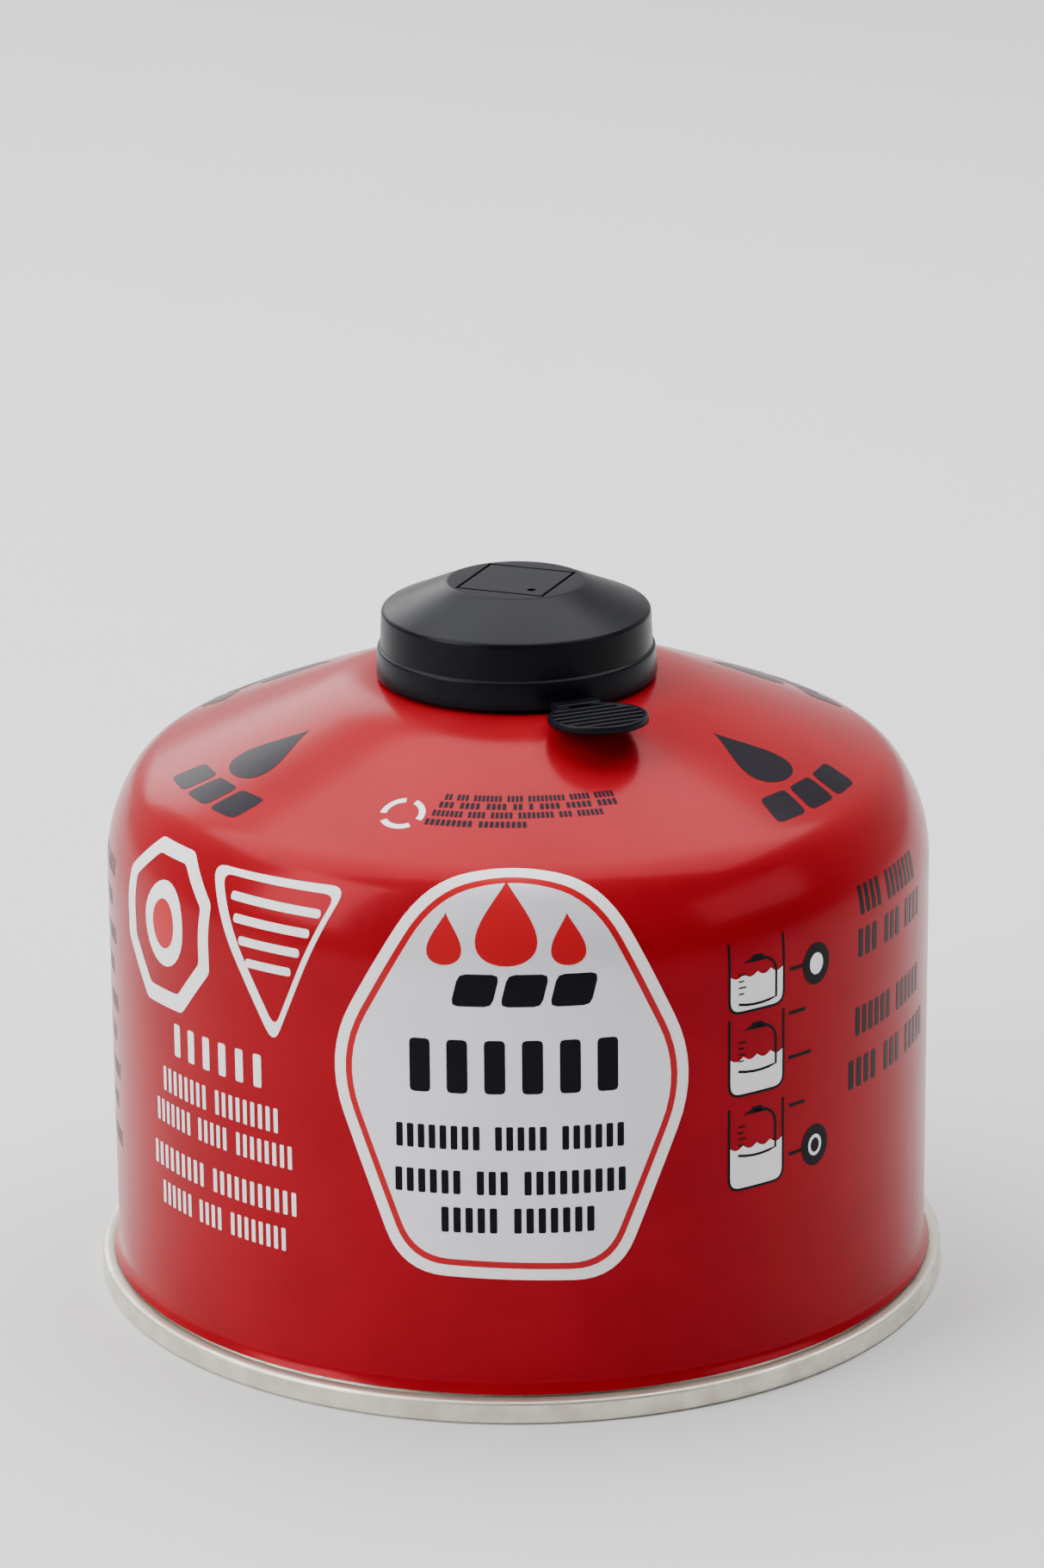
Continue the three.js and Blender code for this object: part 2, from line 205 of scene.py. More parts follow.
red_litho = varnished("red_litho_on_tinplate", "#8e0a19", 0.08, 0.22, 0.02, sheen="#ff98aa")
white_ink = varnished("white_litho_ink", "#efeaec", 0.0, 0.35, 0.2, 0.96)
silver_ink = varnished("silver_litho_ink", "#dcdae2", 0.3, 0.38, 0.1, 0.93)
red_ink = varnished("red_line_ink", "#ac101d", 0.05, 0.3, 0.06, 0.95)
black_ink = varnished("black_litho_ink", "#110f13", 0.0, 0.3, 0.04, sheen="#8c8a94")
slate_ink = varnished("slate_litho_ink", "#120d16", 0.0, 0.3, 0.0, sheen="#70607c")

# %% [markdown]
# ## Bare tinplate
# The bottom end, its seam and the valve cup are left unprinted. Tinplate is steel with half a
# thousandth of a millimetre of tin: grey-white, satin, with a hint of warm oxide. The seaming
# rollers run round the rim, so its finest scratches are rings: their pattern is looked up by height
# and radius alone. Blotches of about 4 mm dull it.

# %% Material: bare tinplate
bare_tin, tree, where = new_material("bare_tinplate")
TIN_ROUGH = 0.4
flat = add(tree, "ShaderNodeVectorMath", {0: where, 1: (1.0, 1.0, 0.0)}, operation="MULTIPLY")
radius = add(tree, "ShaderNodeVectorMath", {0: flat}, operation="LENGTH").outputs["Value"]
height = add(tree, "ShaderNodeSeparateXYZ", {"Vector": where}).outputs["Z"]
rings_at = add(tree, "ShaderNodeCombineXYZ", {"X": radius, "Z": height})
blotch = noise(tree, where, 240.0, 4.0)
shaded(bare_tin, {
    "Base Color": tones(tree, blotch, 0.38, 0.62, colour("#cfc9ba"), colour("#e2ddcf")),
    "Roughness": spread(tree, blotch, 0.3, 0.7, TIN_ROUGH * 1.3, TIN_ROUGH * 0.8),
    "Metallic": 0.85, "Normal": relief(tree, noise(tree, rings_at, 5200.0, 3.0), 0.12, 0.1)})

# %% [markdown]
# ## Plastics, rubber and wire
# The cap is low-density polyethylene. Its charcoal colour is in the plastic, and the spark-eroded
# mould leaves a fine grain of about 0.3 mm that makes a satin gloss. The valve parts are natural
# acetal, the seals are nitrile rubber and the spring is drawn stainless wire. One function sets a
# grain size and depth for each of them.

# %% Materials: moulded plastics, rubber and wire
def moulded(name, hex_light, hex_dark, rough, grain_mm, depth_mm, metallic=0.0, spec=0.4):
    """A moulded or drawn surface: even colour, a fine grain and uneven gloss."""
    material, tree, where = new_material(name)
    flow = noise(tree, where, 150.0, 3.0)
    grain = noise(tree, where, 1 / (grain_mm * MM))
    return shaded(material, {
        "Base Color": tones(tree, flow, 0.35, 0.65, colour(hex_dark), colour(hex_light)),
        "Roughness": spread(tree, flow, 0.3, 0.7, rough * 0.9, rough * 1.12),
        "Metallic": metallic, "Specular IOR Level": spec,
        "Normal": relief(tree, grain, 0.35, depth_mm)})


cap_plastic = moulded("charcoal_polyethylene", "#101118", "#0b0b11", 0.32, 0.3, 0.015, spec=0.08)
rubber = moulded("nitrile_rubber", "#1d1d1e", "#151516", 0.75, 0.2, 0.03)
acetal = moulded("natural_acetal", "#e9e6dc", "#dedacd", 0.42, 0.4, 0.01)
wire = moulded("stainless_wire", "#a9acb0", "#93979c", 0.28, 0.15, 0.01, metallic=1.0)

# %% [markdown]
# ## Profiles
# Almost every piece was spun, pressed or turned, so its shape is one line carried round an axis. A
# profile is a list of (radius, height) points in millimetres. Arcs are added by their centre and
# angles, and corners are rounded by a curve that starts and ends a little before the corner.

# %% Helpers: profile arcs and corners
def arc(start, radius, from_degrees, to_degrees, steps):
    """Points of an arc that leaves start at from_degrees and turns about its own centre."""
    a0 = math.radians(from_degrees)
    centre = (start[0] - radius * math.cos(a0), start[1] - radius * math.sin(a0))
    angles = [math.radians(from_degrees + (to_degrees - from_degrees) * i / steps)
              for i in range(1, steps + 1)]
    return [(centre[0] + radius * math.cos(a), centre[1] + radius * math.sin(a)) for a in angles]


def bend(start, corner, end, steps=6):
    """Points of a rounded corner between two runs, both ends included."""
    points = []
    for i in range(steps + 1):
        t = i / steps
        weights = ((1 - t) ** 2, 2 * t * (1 - t), t ** 2)
        points.append(tuple(sum(w * p[axis] for w, p in zip(weights, (start, corner, end)))
                            for axis in (0, 1)))
    return points


def turn_corner(r, z, enter, leave, steps=6):
    """A rounded corner. Enter and leave say how far from it the rounding starts and ends."""
    return bend((r + enter[0], z + enter[1]), (r, z), (r + leave[0], z + leave[1]), steps)


print("a quarter bend", [tuple(round(v, 2) for v in p) for p in bend((1, 0), (1, 1), (0, 1), 2)])

# %% [markdown]
# ## Geometry Nodes trees
# Each tree has named inputs, the last of which is the finish, and ends by making instances real and
# setting that finish. Two functions open and close a tree, and a third adds a Math node.

# %% Helpers: opening and closing a tree
def new_tree(name, inputs):
    """A tree with named inputs, a finish and one output. Gives the tree and its input sockets."""
    tree = bpy.data.node_groups.new(name, "GeometryNodeTree")
    for label, kind in {**inputs, "Finish": "Material"}.items():
        tree.interface.new_socket(label, in_out="INPUT", socket_type="NodeSocket" + kind)
    tree.interface.new_socket("Made", in_out="OUTPUT", socket_type="NodeSocketGeometry")
    return tree, add(tree, "NodeGroupInput").outputs


def end_tree(tree, geometry, finish):
    """Makes instances real, sets the finish and links the output."""
    real = add(tree, "GeometryNodeRealizeInstances", {"Geometry": geometry})
    dressed = add(tree, "GeometryNodeSetMaterial", {"Geometry": real, "Material": finish})
    add(tree, "NodeGroupOutput", {"Made": dressed})
    print("tree", tree.name, "nodes", len(tree.nodes))


def calc(tree, operation, a, b=0.0):
    """A Math node on one or two numbers."""
    return add(tree, "ShaderNodeMath", {0: a, 1: b}, operation=operation)


# %% [markdown]
# ## Turning as a tree
# Spinning a profile by hand leaves a seam and a pole to close each time. This tree does it for every
# turned piece. It lays out a grid with one row of points for each point of the profile and one
# column for each step round the axis. Then it sends each grid point to its row's radius and height
# at its column's angle, and merges the seam and the poles.

# %% Tree: turn a profile about the axis
turning, given = new_tree("turn_on_axis", {"Profile": "Geometry", "Sides": "Int", "Weld": "Float"})
count = add(turning, "GeometryNodeAttributeDomainSize", {"Geometry": given["Profile"]},
            component="MESH").outputs["Point Count"]
columns = calc(turning, "ADD", given["Sides"], 1.0)
grid = add(turning, "GeometryNodeMeshGrid", {"Vertices X": count, "Vertices Y": columns})
number = add(turning, "GeometryNodeInputIndex")
row = calc(turning, "FLOOR", calc(turning, "DIVIDE", number, columns))
column = calc(turning, "MODULO", number, columns)
angle = calc(turning, "MULTIPLY", calc(turning, "DIVIDE", column, given["Sides"]), math.tau)
here = add(turning, "GeometryNodeInputPosition")
taken = add(turning, "GeometryNodeSampleIndex", {"Geometry": given["Profile"], "Value": here,
            "Index": row}, data_type="FLOAT_VECTOR").outputs["Value"]
spun = add(turning, "ShaderNodeVectorRotate", {"Vector": taken, "Angle": angle},
           rotation_type="Z_AXIS")
moved = add(turning, "GeometryNodeSetPosition", {"Geometry": grid, "Position": spun})
closed = add(turning, "GeometryNodeMergeByDistance", {"Geometry": moved, "Distance": given["Weld"]})
end_tree(turning, closed, given["Finish"])

# %% [markdown]
# ## Running a tree
# A tree's inputs are set by the socket's identifier before the object is first evaluated. The result
# is taken as a plain mesh, so the modifier never stays on the finished piece.

# %% Helpers: a mesh object, a tree's result, and smooth shading
WELD = 0.002 * MM
POINT = ((0, 0, 0),)


def mesh_object(name, points=POINT, edges=(), faces=()):
    """A linked object from points in metres. With a name alone it is a seed for a tree."""
    mesh = bpy.data.meshes.new(name)
    mesh.from_pydata(points, list(edges), list(faces))
    piece = bpy.data.objects.new(name, mesh)
    bpy.context.collection.objects.link(piece)
    return piece


def take_result(piece):
    """Replaces a piece's mesh by what its modifiers make, and removes the modifiers."""
    graph = bpy.context.evaluated_depsgraph_get()
    result = bpy.data.meshes.new_from_object(piece.evaluated_get(graph), depsgraph=graph)
    piece.modifiers.clear()
    old = piece.data
    piece.data = result
    bpy.data.meshes.remove(old)


def run_tree(piece, tree, inputs):
    """Runs a tree on a piece with its inputs given by name."""
    modifier = piece.modifiers.new(tree.name, "NODES")
    modifier.node_group = tree
    for item in tree.interface.items_tree:
        if item.in_out == "INPUT" and item.name in inputs:
            modifier[item.identifier] = inputs[item.name]
    take_result(piece)


def outward(piece):
    """Turns every face outwards."""
    work = bmesh.new()
    work.from_mesh(piece.data)
    bmesh.ops.recalc_face_normals(work, faces=work.faces)
    work.to_mesh(piece.data)
    work.free()


def smooth(piece, sharp_degrees):
    """Smooth shading, with the edges sharper than an angle kept crisp."""
    piece.data.polygons.foreach_set("use_smooth", [True] * len(piece.data.polygons))
    piece.data.set_sharp_from_angle(angle=math.radians(sharp_degrees))
    show(piece)


def grown(piece, tree, inputs, sharp_degrees):
    """Lets a tree make a solid piece, and shades it."""
    run_tree(piece, tree, inputs)
    outward(piece)
    smooth(piece, sharp_degrees)
    return piece


def turned(name, profile, sides, finish):
    """A turned piece from a profile in millimetres."""
    points = [(r * MM, 0.0, z * MM) for r, z in profile]
    line = mesh_object(name, points, [(i, i + 1) for i in range(len(points) - 1)])
    return grown(line, turning, {"Sides": sides, "Weld": WELD, "Finish": finish}, 30)


# %% [markdown]
# ## The drawn can
# The can is one deep-drawn cup. Its wall is straight, its shoulder is a knuckle of two arcs, its
# crown is nearly a cone and its neck ends in a curl that the valve cup grips. It is sealed and full,
# so it is turned as one closed form. The wall flares a little where it goes down into the seam. The
# arcs come from the outline in the photograph.

# %% The can's profile
WALL_R, WALL_TOP = 52.7, 55.7
KNUCKLE_R, KNUCKLE_TO = 19.4, 32.7
SHOULDER_R, SHOULDER_TO = 8.3, 65.7
CROWN_R, CROWN_TO = 290.8, 70.1
NECK_ARC_R = 29.0
FLARE_R, FLARE_FOOT, FLARE_TOP = 53.35, 3.3, 5.1
HOOK_R, HOOK_TOP, HOOK_FOOT_R = 52.4, 5.2, 53.1
OPENING_R, BEAD_R, BEAD_TOP, BEAD_BEND = 13.0, 15.1, 82.394, 0.9
POCKET_Z, VALVE_POCKET_R, VALVE_POCKET_Z = 77.194, 4.7, 75.394
PANEL_R, PANEL_TOP, PANEL_SPHERE_R = 49.5, 12.5, 191.7
PANEL_GAP = 0.3
CAN_SIDES = 192

dome = [(WALL_R, WALL_TOP)]
for radius, a, b, steps in ((KNUCKLE_R, 0, KNUCKLE_TO, 12), (SHOULDER_R, KNUCKLE_TO, SHOULDER_TO, 14),
                            (CROWN_R, SHOULDER_TO, CROWN_TO, 10), (NECK_ARC_R, CROWN_TO, 90, 8)):
    dome += arc(dome[-1], radius, a, b, steps)


def panel_height(r):
    """Height of the concave bottom panel's upper side at a radius."""
    return PANEL_TOP - PANEL_SPHERE_R + math.sqrt(PANEL_SPHERE_R ** 2 - r ** 2)


panel_rows = [(PANEL_R * i / 8, panel_height(PANEL_R * i / 8)) for i in range(9)]
can_profile = [(r, z + PANEL_GAP) for r, z in panel_rows]
can_profile += [(HOOK_R, HOOK_TOP), (HOOK_FOOT_R, FLARE_FOOT)]
can_profile += bend((FLARE_R, FLARE_FOOT), (WALL_R, (FLARE_FOOT + FLARE_TOP) / 2),
                    (WALL_R, FLARE_TOP))
can_profile += [(WALL_R, z) for z in (15, 25, 35, 45)]
can_profile += dome + [(BEAD_R, dome[-1][1])]
can_profile += turn_corner(BEAD_R, BEAD_TOP, (0, -BEAD_BEND), (-BEAD_BEND, 0))
can_profile += turn_corner(OPENING_R, BEAD_TOP, (BEAD_BEND, 0), (0, -BEAD_BEND))
can_profile += [(OPENING_R, POCKET_Z), (VALVE_POCKET_R, POCKET_Z),
                (VALVE_POCKET_R, VALVE_POCKET_Z), (0.0, VALVE_POCKET_Z)]
print("profile points", len(can_profile), "neck at", round(dome[-1][1], 2), "mm")

# %% The can
can_shell = turned("can_shell", can_profile, CAN_SIDES, red_litho)

# %% [markdown]
# ## The bottom end and its double seam
# The bottom is a second pressing: a panel pushed inwards to take the pressure, and a flange rolled
# together with the can's wall. That double seam is the ring that the can stands on. Its section is a
# flattened hook: round at the top, straight with a shallow waist where the roller pressed, and round
# again at the foot.

# %% The bottom end
SEAM_R, SEAM_IN, SEAM_TOP, SEAM_WAIST = 55.0, 52.8, 3.0, 0.06
END_T = 0.5
upper = panel_rows + bend((PANEL_R, 6.0), (52.0, 5.5), (SEAM_IN, 2.7), 8)[1:]
lower = [(r * (1 - END_T / WALL_R), z - END_T) for r, z in upper[:-1]]
rim = [(52.3, 0.6)] + turn_corner(SEAM_IN, 0.0, (-0.25, 0.3), (0.6, 0.0), 4)
rim += turn_corner(SEAM_R, 0.0, (-0.6, 0.0), (0.0, 0.75))
rim += [(SEAM_R - SEAM_WAIST, 1.15), (SEAM_R - SEAM_WAIST, 1.95)]
rim += turn_corner(SEAM_R, SEAM_TOP, (-0.02, -0.65), (-0.8, 0.0), 7)
rim += [(53.3, 2.95)]
bottom_end = turned("bottom_end_seamed", lower + rim + upper[::-1], CAN_SIDES, bare_tin)

# %% [markdown]
# ## The valve cup and its thread
# A small pressed cup closes the neck. Its rim is crimped over the curl, its floor drops inside it
# and a boss is drawn up in the middle. A stove screws on the boss, so it carries a right-handed
# thread, 7/16 inch across with 28 turns to the inch. A second tree sweeps its triangular section up
# a spiral, and sweeps the valve's spring as well.

# %% The cup
CUP_R, CUP_IN, CUP_TOP, CUP_FLOOR, CUP_T, CUP_BEND = 15.8, 12.3, 83.394, 77.894, 0.4, 0.8
BOSS_CORE_R, BOSS_BORE_R, BOSS_HOLE_R, BOSS_TOP, LID_Z = 5.02, 4.7, 2.3, 87.494, 86.794
SKIRT_FOOT, UNDER_TOP = 80.594, CUP_TOP - CUP_T
BOSS_FLARE, BOSS_EDGE = 0.98, 0.3
UNDER_FLOOR, WALL_OUT = CUP_FLOOR - CUP_T, CUP_IN + CUP_T
CUP_SIDES = 128
cup_profile = [(BOSS_BORE_R, UNDER_FLOOR)]
cup_profile += turn_corner(WALL_OUT, UNDER_FLOOR, (-CUP_BEND, 0), (0, CUP_BEND))
cup_profile += turn_corner(WALL_OUT, UNDER_TOP, (0, -CUP_T), (CUP_T, 0), 4)
cup_profile += turn_corner(CUP_R - CUP_T, UNDER_TOP, (-CUP_T, 0), (0, -CUP_T), 4)
cup_profile += [(CUP_R - CUP_T, SKIRT_FOOT), (CUP_R, SKIRT_FOOT)]
cup_profile += turn_corner(CUP_R, CUP_TOP, (0, -CUP_BEND), (-CUP_BEND, 0))
cup_profile += turn_corner(CUP_IN, CUP_TOP, (CUP_BEND, 0), (0, -CUP_BEND))
cup_profile += turn_corner(CUP_IN, CUP_FLOOR, (0, CUP_BEND), (-CUP_BEND, 0))
cup_profile += turn_corner(BOSS_CORE_R, CUP_FLOOR, (BOSS_FLARE, 0), (0, CUP_BEND))
cup_profile += [(BOSS_CORE_R, BOSS_TOP - BOSS_EDGE), (BOSS_CORE_R - BOSS_EDGE, BOSS_TOP),
                (BOSS_HOLE_R, BOSS_TOP), (BOSS_HOLE_R, LID_Z), (BOSS_BORE_R, LID_Z),
                (BOSS_BORE_R, UNDER_FLOOR)]
valve_cup = turned("valve_cup", cup_profile, CUP_SIDES, bare_tin)

# %% Tree: sweep a section up a spiral
spiralling, given = new_tree("sweep_spiral", {"Section": "Object", "Radius": "Float",
                             "Length": "Float", "Turns": "Float", "Base": "Float"})
spiral = add(spiralling, "GeometryNodeCurveSpiral", {"Resolution": 40, "Rotations": given["Turns"],
             "Start Radius": given["Radius"], "End Radius": given["Radius"],
             "Height": given["Length"], "Reverse": False})
facing = add(spiralling, "GeometryNodeSetCurveNormal", {"Curve": spiral}, mode="Z_UP")
section = add(spiralling, "GeometryNodeObjectInfo", {"Object": given["Section"]})
swept = add(spiralling, "GeometryNodeCurveToMesh", {"Curve": facing,
            "Profile Curve": section.outputs["Geometry"], "Fill Caps": True})
lift = add(spiralling, "ShaderNodeCombineXYZ", {"Z": given["Base"]})
raised = add(spiralling, "GeometryNodeTransform", {"Geometry": swept, "Translation": lift})
end_tree(spiralling, raised, given["Finish"])


# %% Helpers: a line as a curve object, and a section swept up a spiral
def line_object(name, points, closed=False):
    """A curve of straight runs through points in metres."""
    data = bpy.data.curves.new(name, "CURVE")
    data.dimensions = "3D"
    spline = data.splines.new("POLY")
    spline.points.add(len(points) - 1)
    for target, point in zip(spline.points, points):
        target.co = (*point, 1.0)
    spline.use_cyclic_u = closed
    curve = bpy.data.objects.new(name, data)
    bpy.context.collection.objects.link(curve)
    return curve


def coiled(name, section, radius, length, turns, base, finish, sharp_degrees):
    """A closed section swept up a spiral. Sizes are in millimetres."""
    outline = line_object(name + "_section", [(x * MM, y * MM, 0.0) for x, y in section], True)
    inputs = {"Section": outline, "Radius": radius * MM, "Length": length * MM, "Turns": turns,
              "Base": base * MM, "Finish": finish}
    piece = grown(mesh_object(name), spiralling, inputs, sharp_degrees)
    bpy.data.objects.remove(outline)
    return piece


# %% The thread
THREAD_CREST_R, THREAD_PITCH, THREAD_TURNS, THREAD_LOW = 5.53, 0.907, 8.5, 78.9
CREST_HALF, ROOT_HALF, ROOT_SUNK = 0.07, THREAD_PITCH * 0.42, 0.15
depth = THREAD_CREST_R - BOSS_CORE_R + ROOT_SUNK
thread_section = [(-depth / 2, ROOT_HALF), (depth / 2, CREST_HALF),
                  (depth / 2, -CREST_HALF), (-depth / 2, -ROOT_HALF)]
boss_thread = coiled("boss_thread", thread_section, THREAD_CREST_R - depth / 2,
                     THREAD_PITCH * THREAD_TURNS, THREAD_TURNS, THREAD_LOW, bare_tin, 35)

# %% [markdown]
# ## The cap
# The cap is one moulding that snaps over the crimped cup. A lower band stands a little proud of a
# plain skirt, a cone rises to a flat disc, and a thin square line and a vent hole are moulded in the
# disc. The round body is turned. The line and the hole are cut with two closed cutters and the
# Boolean modifier, because a turned profile can't hold a square.

# %% The cap's turned body
CAP_FOOT, CAP_BORE_R, BAND_R, BAND_TOP = 79.694, 16.2, 17.9, 83.594
SKIRT_LOW_R, SKIRT_HIGH_R, SKIRT_TOP = 17.35, 17.15, 88.194
DISC_R, CAP_TOP = 8.8, 91.74
STOP_R, STOP_LOW, STOP_TOP = 14.9, 83.694, 84.594
CEILING = [(0.0, 90.544), (8.2, 90.544), (15.85, 87.344), (16.05, STOP_TOP)]
CAP_SIDES = 192
cap_profile = CEILING + [(STOP_R, STOP_TOP), (STOP_R, STOP_LOW), (CAP_BORE_R, STOP_LOW)]
cap_profile += turn_corner(CAP_BORE_R, CAP_FOOT, (0, 0.3), (0.3, 0), 4)
cap_profile += turn_corner(BAND_R, CAP_FOOT, (-0.35, 0), (0, 0.4), 4)
cap_profile += turn_corner(BAND_R - 0.2, BAND_TOP - 0.12, (0.02, -0.38), (-0.28, 0.04), 4)
cap_profile += [(SKIRT_LOW_R, BAND_TOP)]
cap_profile += turn_corner(SKIRT_HIGH_R, SKIRT_TOP, (0.01, -0.5), (-0.5, 0.213))
cap_profile += turn_corner(DISC_R, CAP_TOP, (0.35, -0.149), (-0.25, 0), 4)
cap_profile += [(0.0, CAP_TOP)]
cap_moulding = turned("cap_moulding", cap_profile, CAP_SIDES, cap_plastic)

# %% Helpers: a closed prism from an outline, and a cut
def prism(name, rings, low, high, direction=0.0):
    """A closed prism, in millimetres, between two heights. A second ring makes it hollow."""
    spin = Matrix.Rotation(direction, 3, "Z")
    points, faces = [], []
    for outline in rings:
        for z in (low, high):
            points += [tuple(spin @ Vector((x * MM, y * MM, z * MM))) for x, y in outline]
    n = len(rings[0])
    for i in range(n):
        j = (i + 1) % n
        faces.append((i, j, n + j, n + i))
        if len(rings) == 2:
            faces.append((2 * n + i, 3 * n + i, 3 * n + j, 2 * n + j))
            faces.append((n + i, n + j, 3 * n + j, 3 * n + i))
            faces.append((i, 2 * n + i, 2 * n + j, j))
    if len(rings) == 1:
        faces += [tuple(range(n)), tuple(range(n, 2 * n))]
    piece = mesh_object(name, points, faces=faces)
    piece.data.materials.append(cap_plastic)
    outward(piece)
    return piece


def one_finish(piece, finish):
    """Gives all of a piece one material."""
    piece.data.materials.clear()
    piece.data.materials.append(finish)
    piece.data.polygons.foreach_set("material_index", [0] * len(piece.data.polygons))


def cut(piece, cutter):
    """Takes the cutter's volume out of the piece."""
    modifier = piece.modifiers.new("cut", "BOOLEAN")
    modifier.operation = "DIFFERENCE"
    modifier.solver = "EXACT"
    modifier.object = cutter
    take_result(piece)
    one_finish(piece, cap_plastic)
    bpy.data.objects.remove(cutter)
    show(piece)


# %% The square line and the vent hole
TAB_AZIMUTH = 23.5
tab_direction = math.radians(TAB_AZIMUTH - 90)
GROOVE_REACH, GROOVE_W, GROOVE_DEEP = 8.4, 0.4, 0.3
VENT_AT, VENT_R, VENT_DEEP = 4.9, 0.55, 2.4
ABOVE_CAP = CAP_TOP + 1
inner_reach = GROOVE_REACH - GROOVE_W * math.sqrt(2)
squares = [ring(0.0, 0.0, reach, reach, 4) for reach in (GROOVE_REACH, inner_reach)]
cut(cap_moulding, prism("line_cutter", squares, CAP_TOP - GROOVE_DEEP, ABOVE_CAP, tab_direction))
vent_ring = ring(VENT_AT, 0.0, VENT_R, VENT_R, 24)
cut(cap_moulding, prism("vent_cutter", [vent_ring], CAP_TOP - VENT_DEEP, ABOVE_CAP, tab_direction))

# %% [markdown]
# ## The lift tab
# A round tab on the band's lower edge gives a thumb something to lift. Its plate and raised rim are
# turned about its own centre. Low half-round ribs cross it so that it doesn't slip. They differ only
# in length, the chord of the rim's circle, so a tree makes them: a row of points, a straight line on
# each one stretched to its chord, and a round section swept along it.

# %% Tree: ribs across a round plate
ribbing, given = new_tree("ribs_across_tab", {"Seed": "Geometry", "Ribs": "Int", "Pitch": "Float",
                          "Reach": "Float", "Rib radius": "Float", "Plate top": "Float"})
span = calc(ribbing, "MULTIPLY", calc(ribbing, "SUBTRACT", given["Ribs"], 1.0), given["Pitch"])
start = add(ribbing, "ShaderNodeCombineXYZ", {"X": calc(ribbing, "MULTIPLY", span, -0.5),
            "Z": given["Plate top"]})
step = add(ribbing, "ShaderNodeCombineXYZ", {"X": given["Pitch"]})
row_of_points = add(ribbing, "GeometryNodeMeshLine", {"Count": given["Ribs"],
                    "Start Location": start, "Offset": step})
line = add(ribbing, "GeometryNodeCurvePrimitiveLine", {"Start": (0, -1, 0), "End": (0, 1, 0)})
here = add(ribbing, "GeometryNodeInputPosition")
at = add(ribbing, "ShaderNodeSeparateXYZ", {"Vector": here}).outputs
left = calc(ribbing, "SUBTRACT", calc(ribbing, "POWER", given["Reach"], 2.0),
            calc(ribbing, "POWER", at["X"], 2.0))
chord = calc(ribbing, "POWER", left, 0.5)
stretch = add(ribbing, "ShaderNodeCombineXYZ", {"X": 1.0, "Y": chord, "Z": 1.0})
placed = add(ribbing, "GeometryNodeInstanceOnPoints", {"Points": row_of_points, "Instance": line,
             "Scale": stretch})
lines = add(ribbing, "GeometryNodeRealizeInstances", {"Geometry": placed})
circle = add(ribbing, "GeometryNodeCurvePrimitiveCircle", {"Resolution": 16,
             "Radius": given["Rib radius"]})
swept = add(ribbing, "GeometryNodeCurveToMesh", {"Curve": lines, "Profile Curve": circle,
            "Fill Caps": True})
end_tree(ribbing, swept, given["Finish"])

# %% Helper: joining pieces of one moulding
def join(piece, *others):
    """Adds the meshes of others to piece and removes them."""
    work = bmesh.new()
    for each in (piece, *others):
        work.from_mesh(each.data)
    work.to_mesh(piece.data)
    work.free()
    for each in others:
        bpy.data.objects.remove(each)


# %% The tab
TAB_R, TAB_T, RIM_W, RIM_UP = 6.3, 0.7, 0.7, 0.3
RIBS, RIB_PITCH, RIB_R, RIB_REACH = 6, 1.65, 0.28, TAB_R - 0.5
TAB_INNER_R, TAB_TILT, TAB_SIDES = 18.8, math.radians(3), 96
RIM_TOP = TAB_T + RIM_UP
tab_profile = [(0.0, 0.0)] + turn_corner(TAB_R, 0.0, (-0.25, 0), (0, 0.3), 4)
tab_profile += turn_corner(TAB_R, RIM_TOP, (0, -RIM_UP), (-RIM_UP, 0), 4)
tab_profile += turn_corner(TAB_R - RIM_W, RIM_TOP, (RIM_UP, 0), (0, -RIM_UP), 4)
tab_profile += [(0.0, TAB_T)]
tab = turned("tab", tab_profile, TAB_SIDES, cap_plastic)
rib_inputs = {"Ribs": RIBS, "Pitch": RIB_PITCH * MM, "Reach": RIB_REACH * MM,
              "Rib radius": RIB_R * MM, "Plate top": TAB_T * MM, "Finish": cap_plastic}
tab_ribs = grown(mesh_object("tab_ribs"), ribbing, rib_inputs, 40)

# %% The tab's short neck
NECK_FROM, NECK_TO, NECK_HALF_W, NECK_TAPER, NECK_T = 17.0, 19.6, 3.3, 0.4, 1.2
NECK_ROUND = 0.25
neck_outline = [(NECK_FROM, -NECK_HALF_W), (NECK_TO, -NECK_HALF_W + NECK_TAPER),
                (NECK_TO, NECK_HALF_W - NECK_TAPER), (NECK_FROM, NECK_HALF_W)]
tab_neck = prism("tab_neck", [neck_outline], CAP_FOOT, CAP_FOOT + NECK_T)
rounding = tab_neck.modifiers.new("rounding", "BEVEL")
rounding.width = NECK_ROUND * MM
rounding.segments = 3
take_result(tab_neck)
smooth(tab_neck, 40)

# %% The whole moulding
lean = (Matrix.Translation((TAB_INNER_R * MM, 0, CAP_FOOT * MM))
        @ Matrix.Rotation(-TAB_TILT, 4, "Y") @ Matrix.Translation((TAB_R * MM, 0, 0)))
aside = Matrix.Rotation(tab_direction, 4, "Z")
for piece, matrix in ((tab, aside @ lean), (tab_ribs, aside @ lean), (tab_neck, aside)):
    piece.data.transform(matrix)
    piece.data.update()
join(cap_moulding, tab, tab_ribs, tab_neck)
one_finish(cap_moulding, cap_plastic)
smooth(cap_moulding, 32)

# %% [markdown]
# ## The print
# The can is printed before it is filled, and each ink lies on the tin as a film a few thousandths of
# a millimetre thick. Each colour is drawn flat, as the printer lays it out: x runs round the can
# from the front, k runs up its skin from the foot, both in millimetres. A tree wraps the drawing on
# the can: it finds the point of the profile that lies k along it and turns it by x over the wall's
# radius. The films stand a few hundredths of a millimetre off the tin, each colour above the ones
# printed before it.

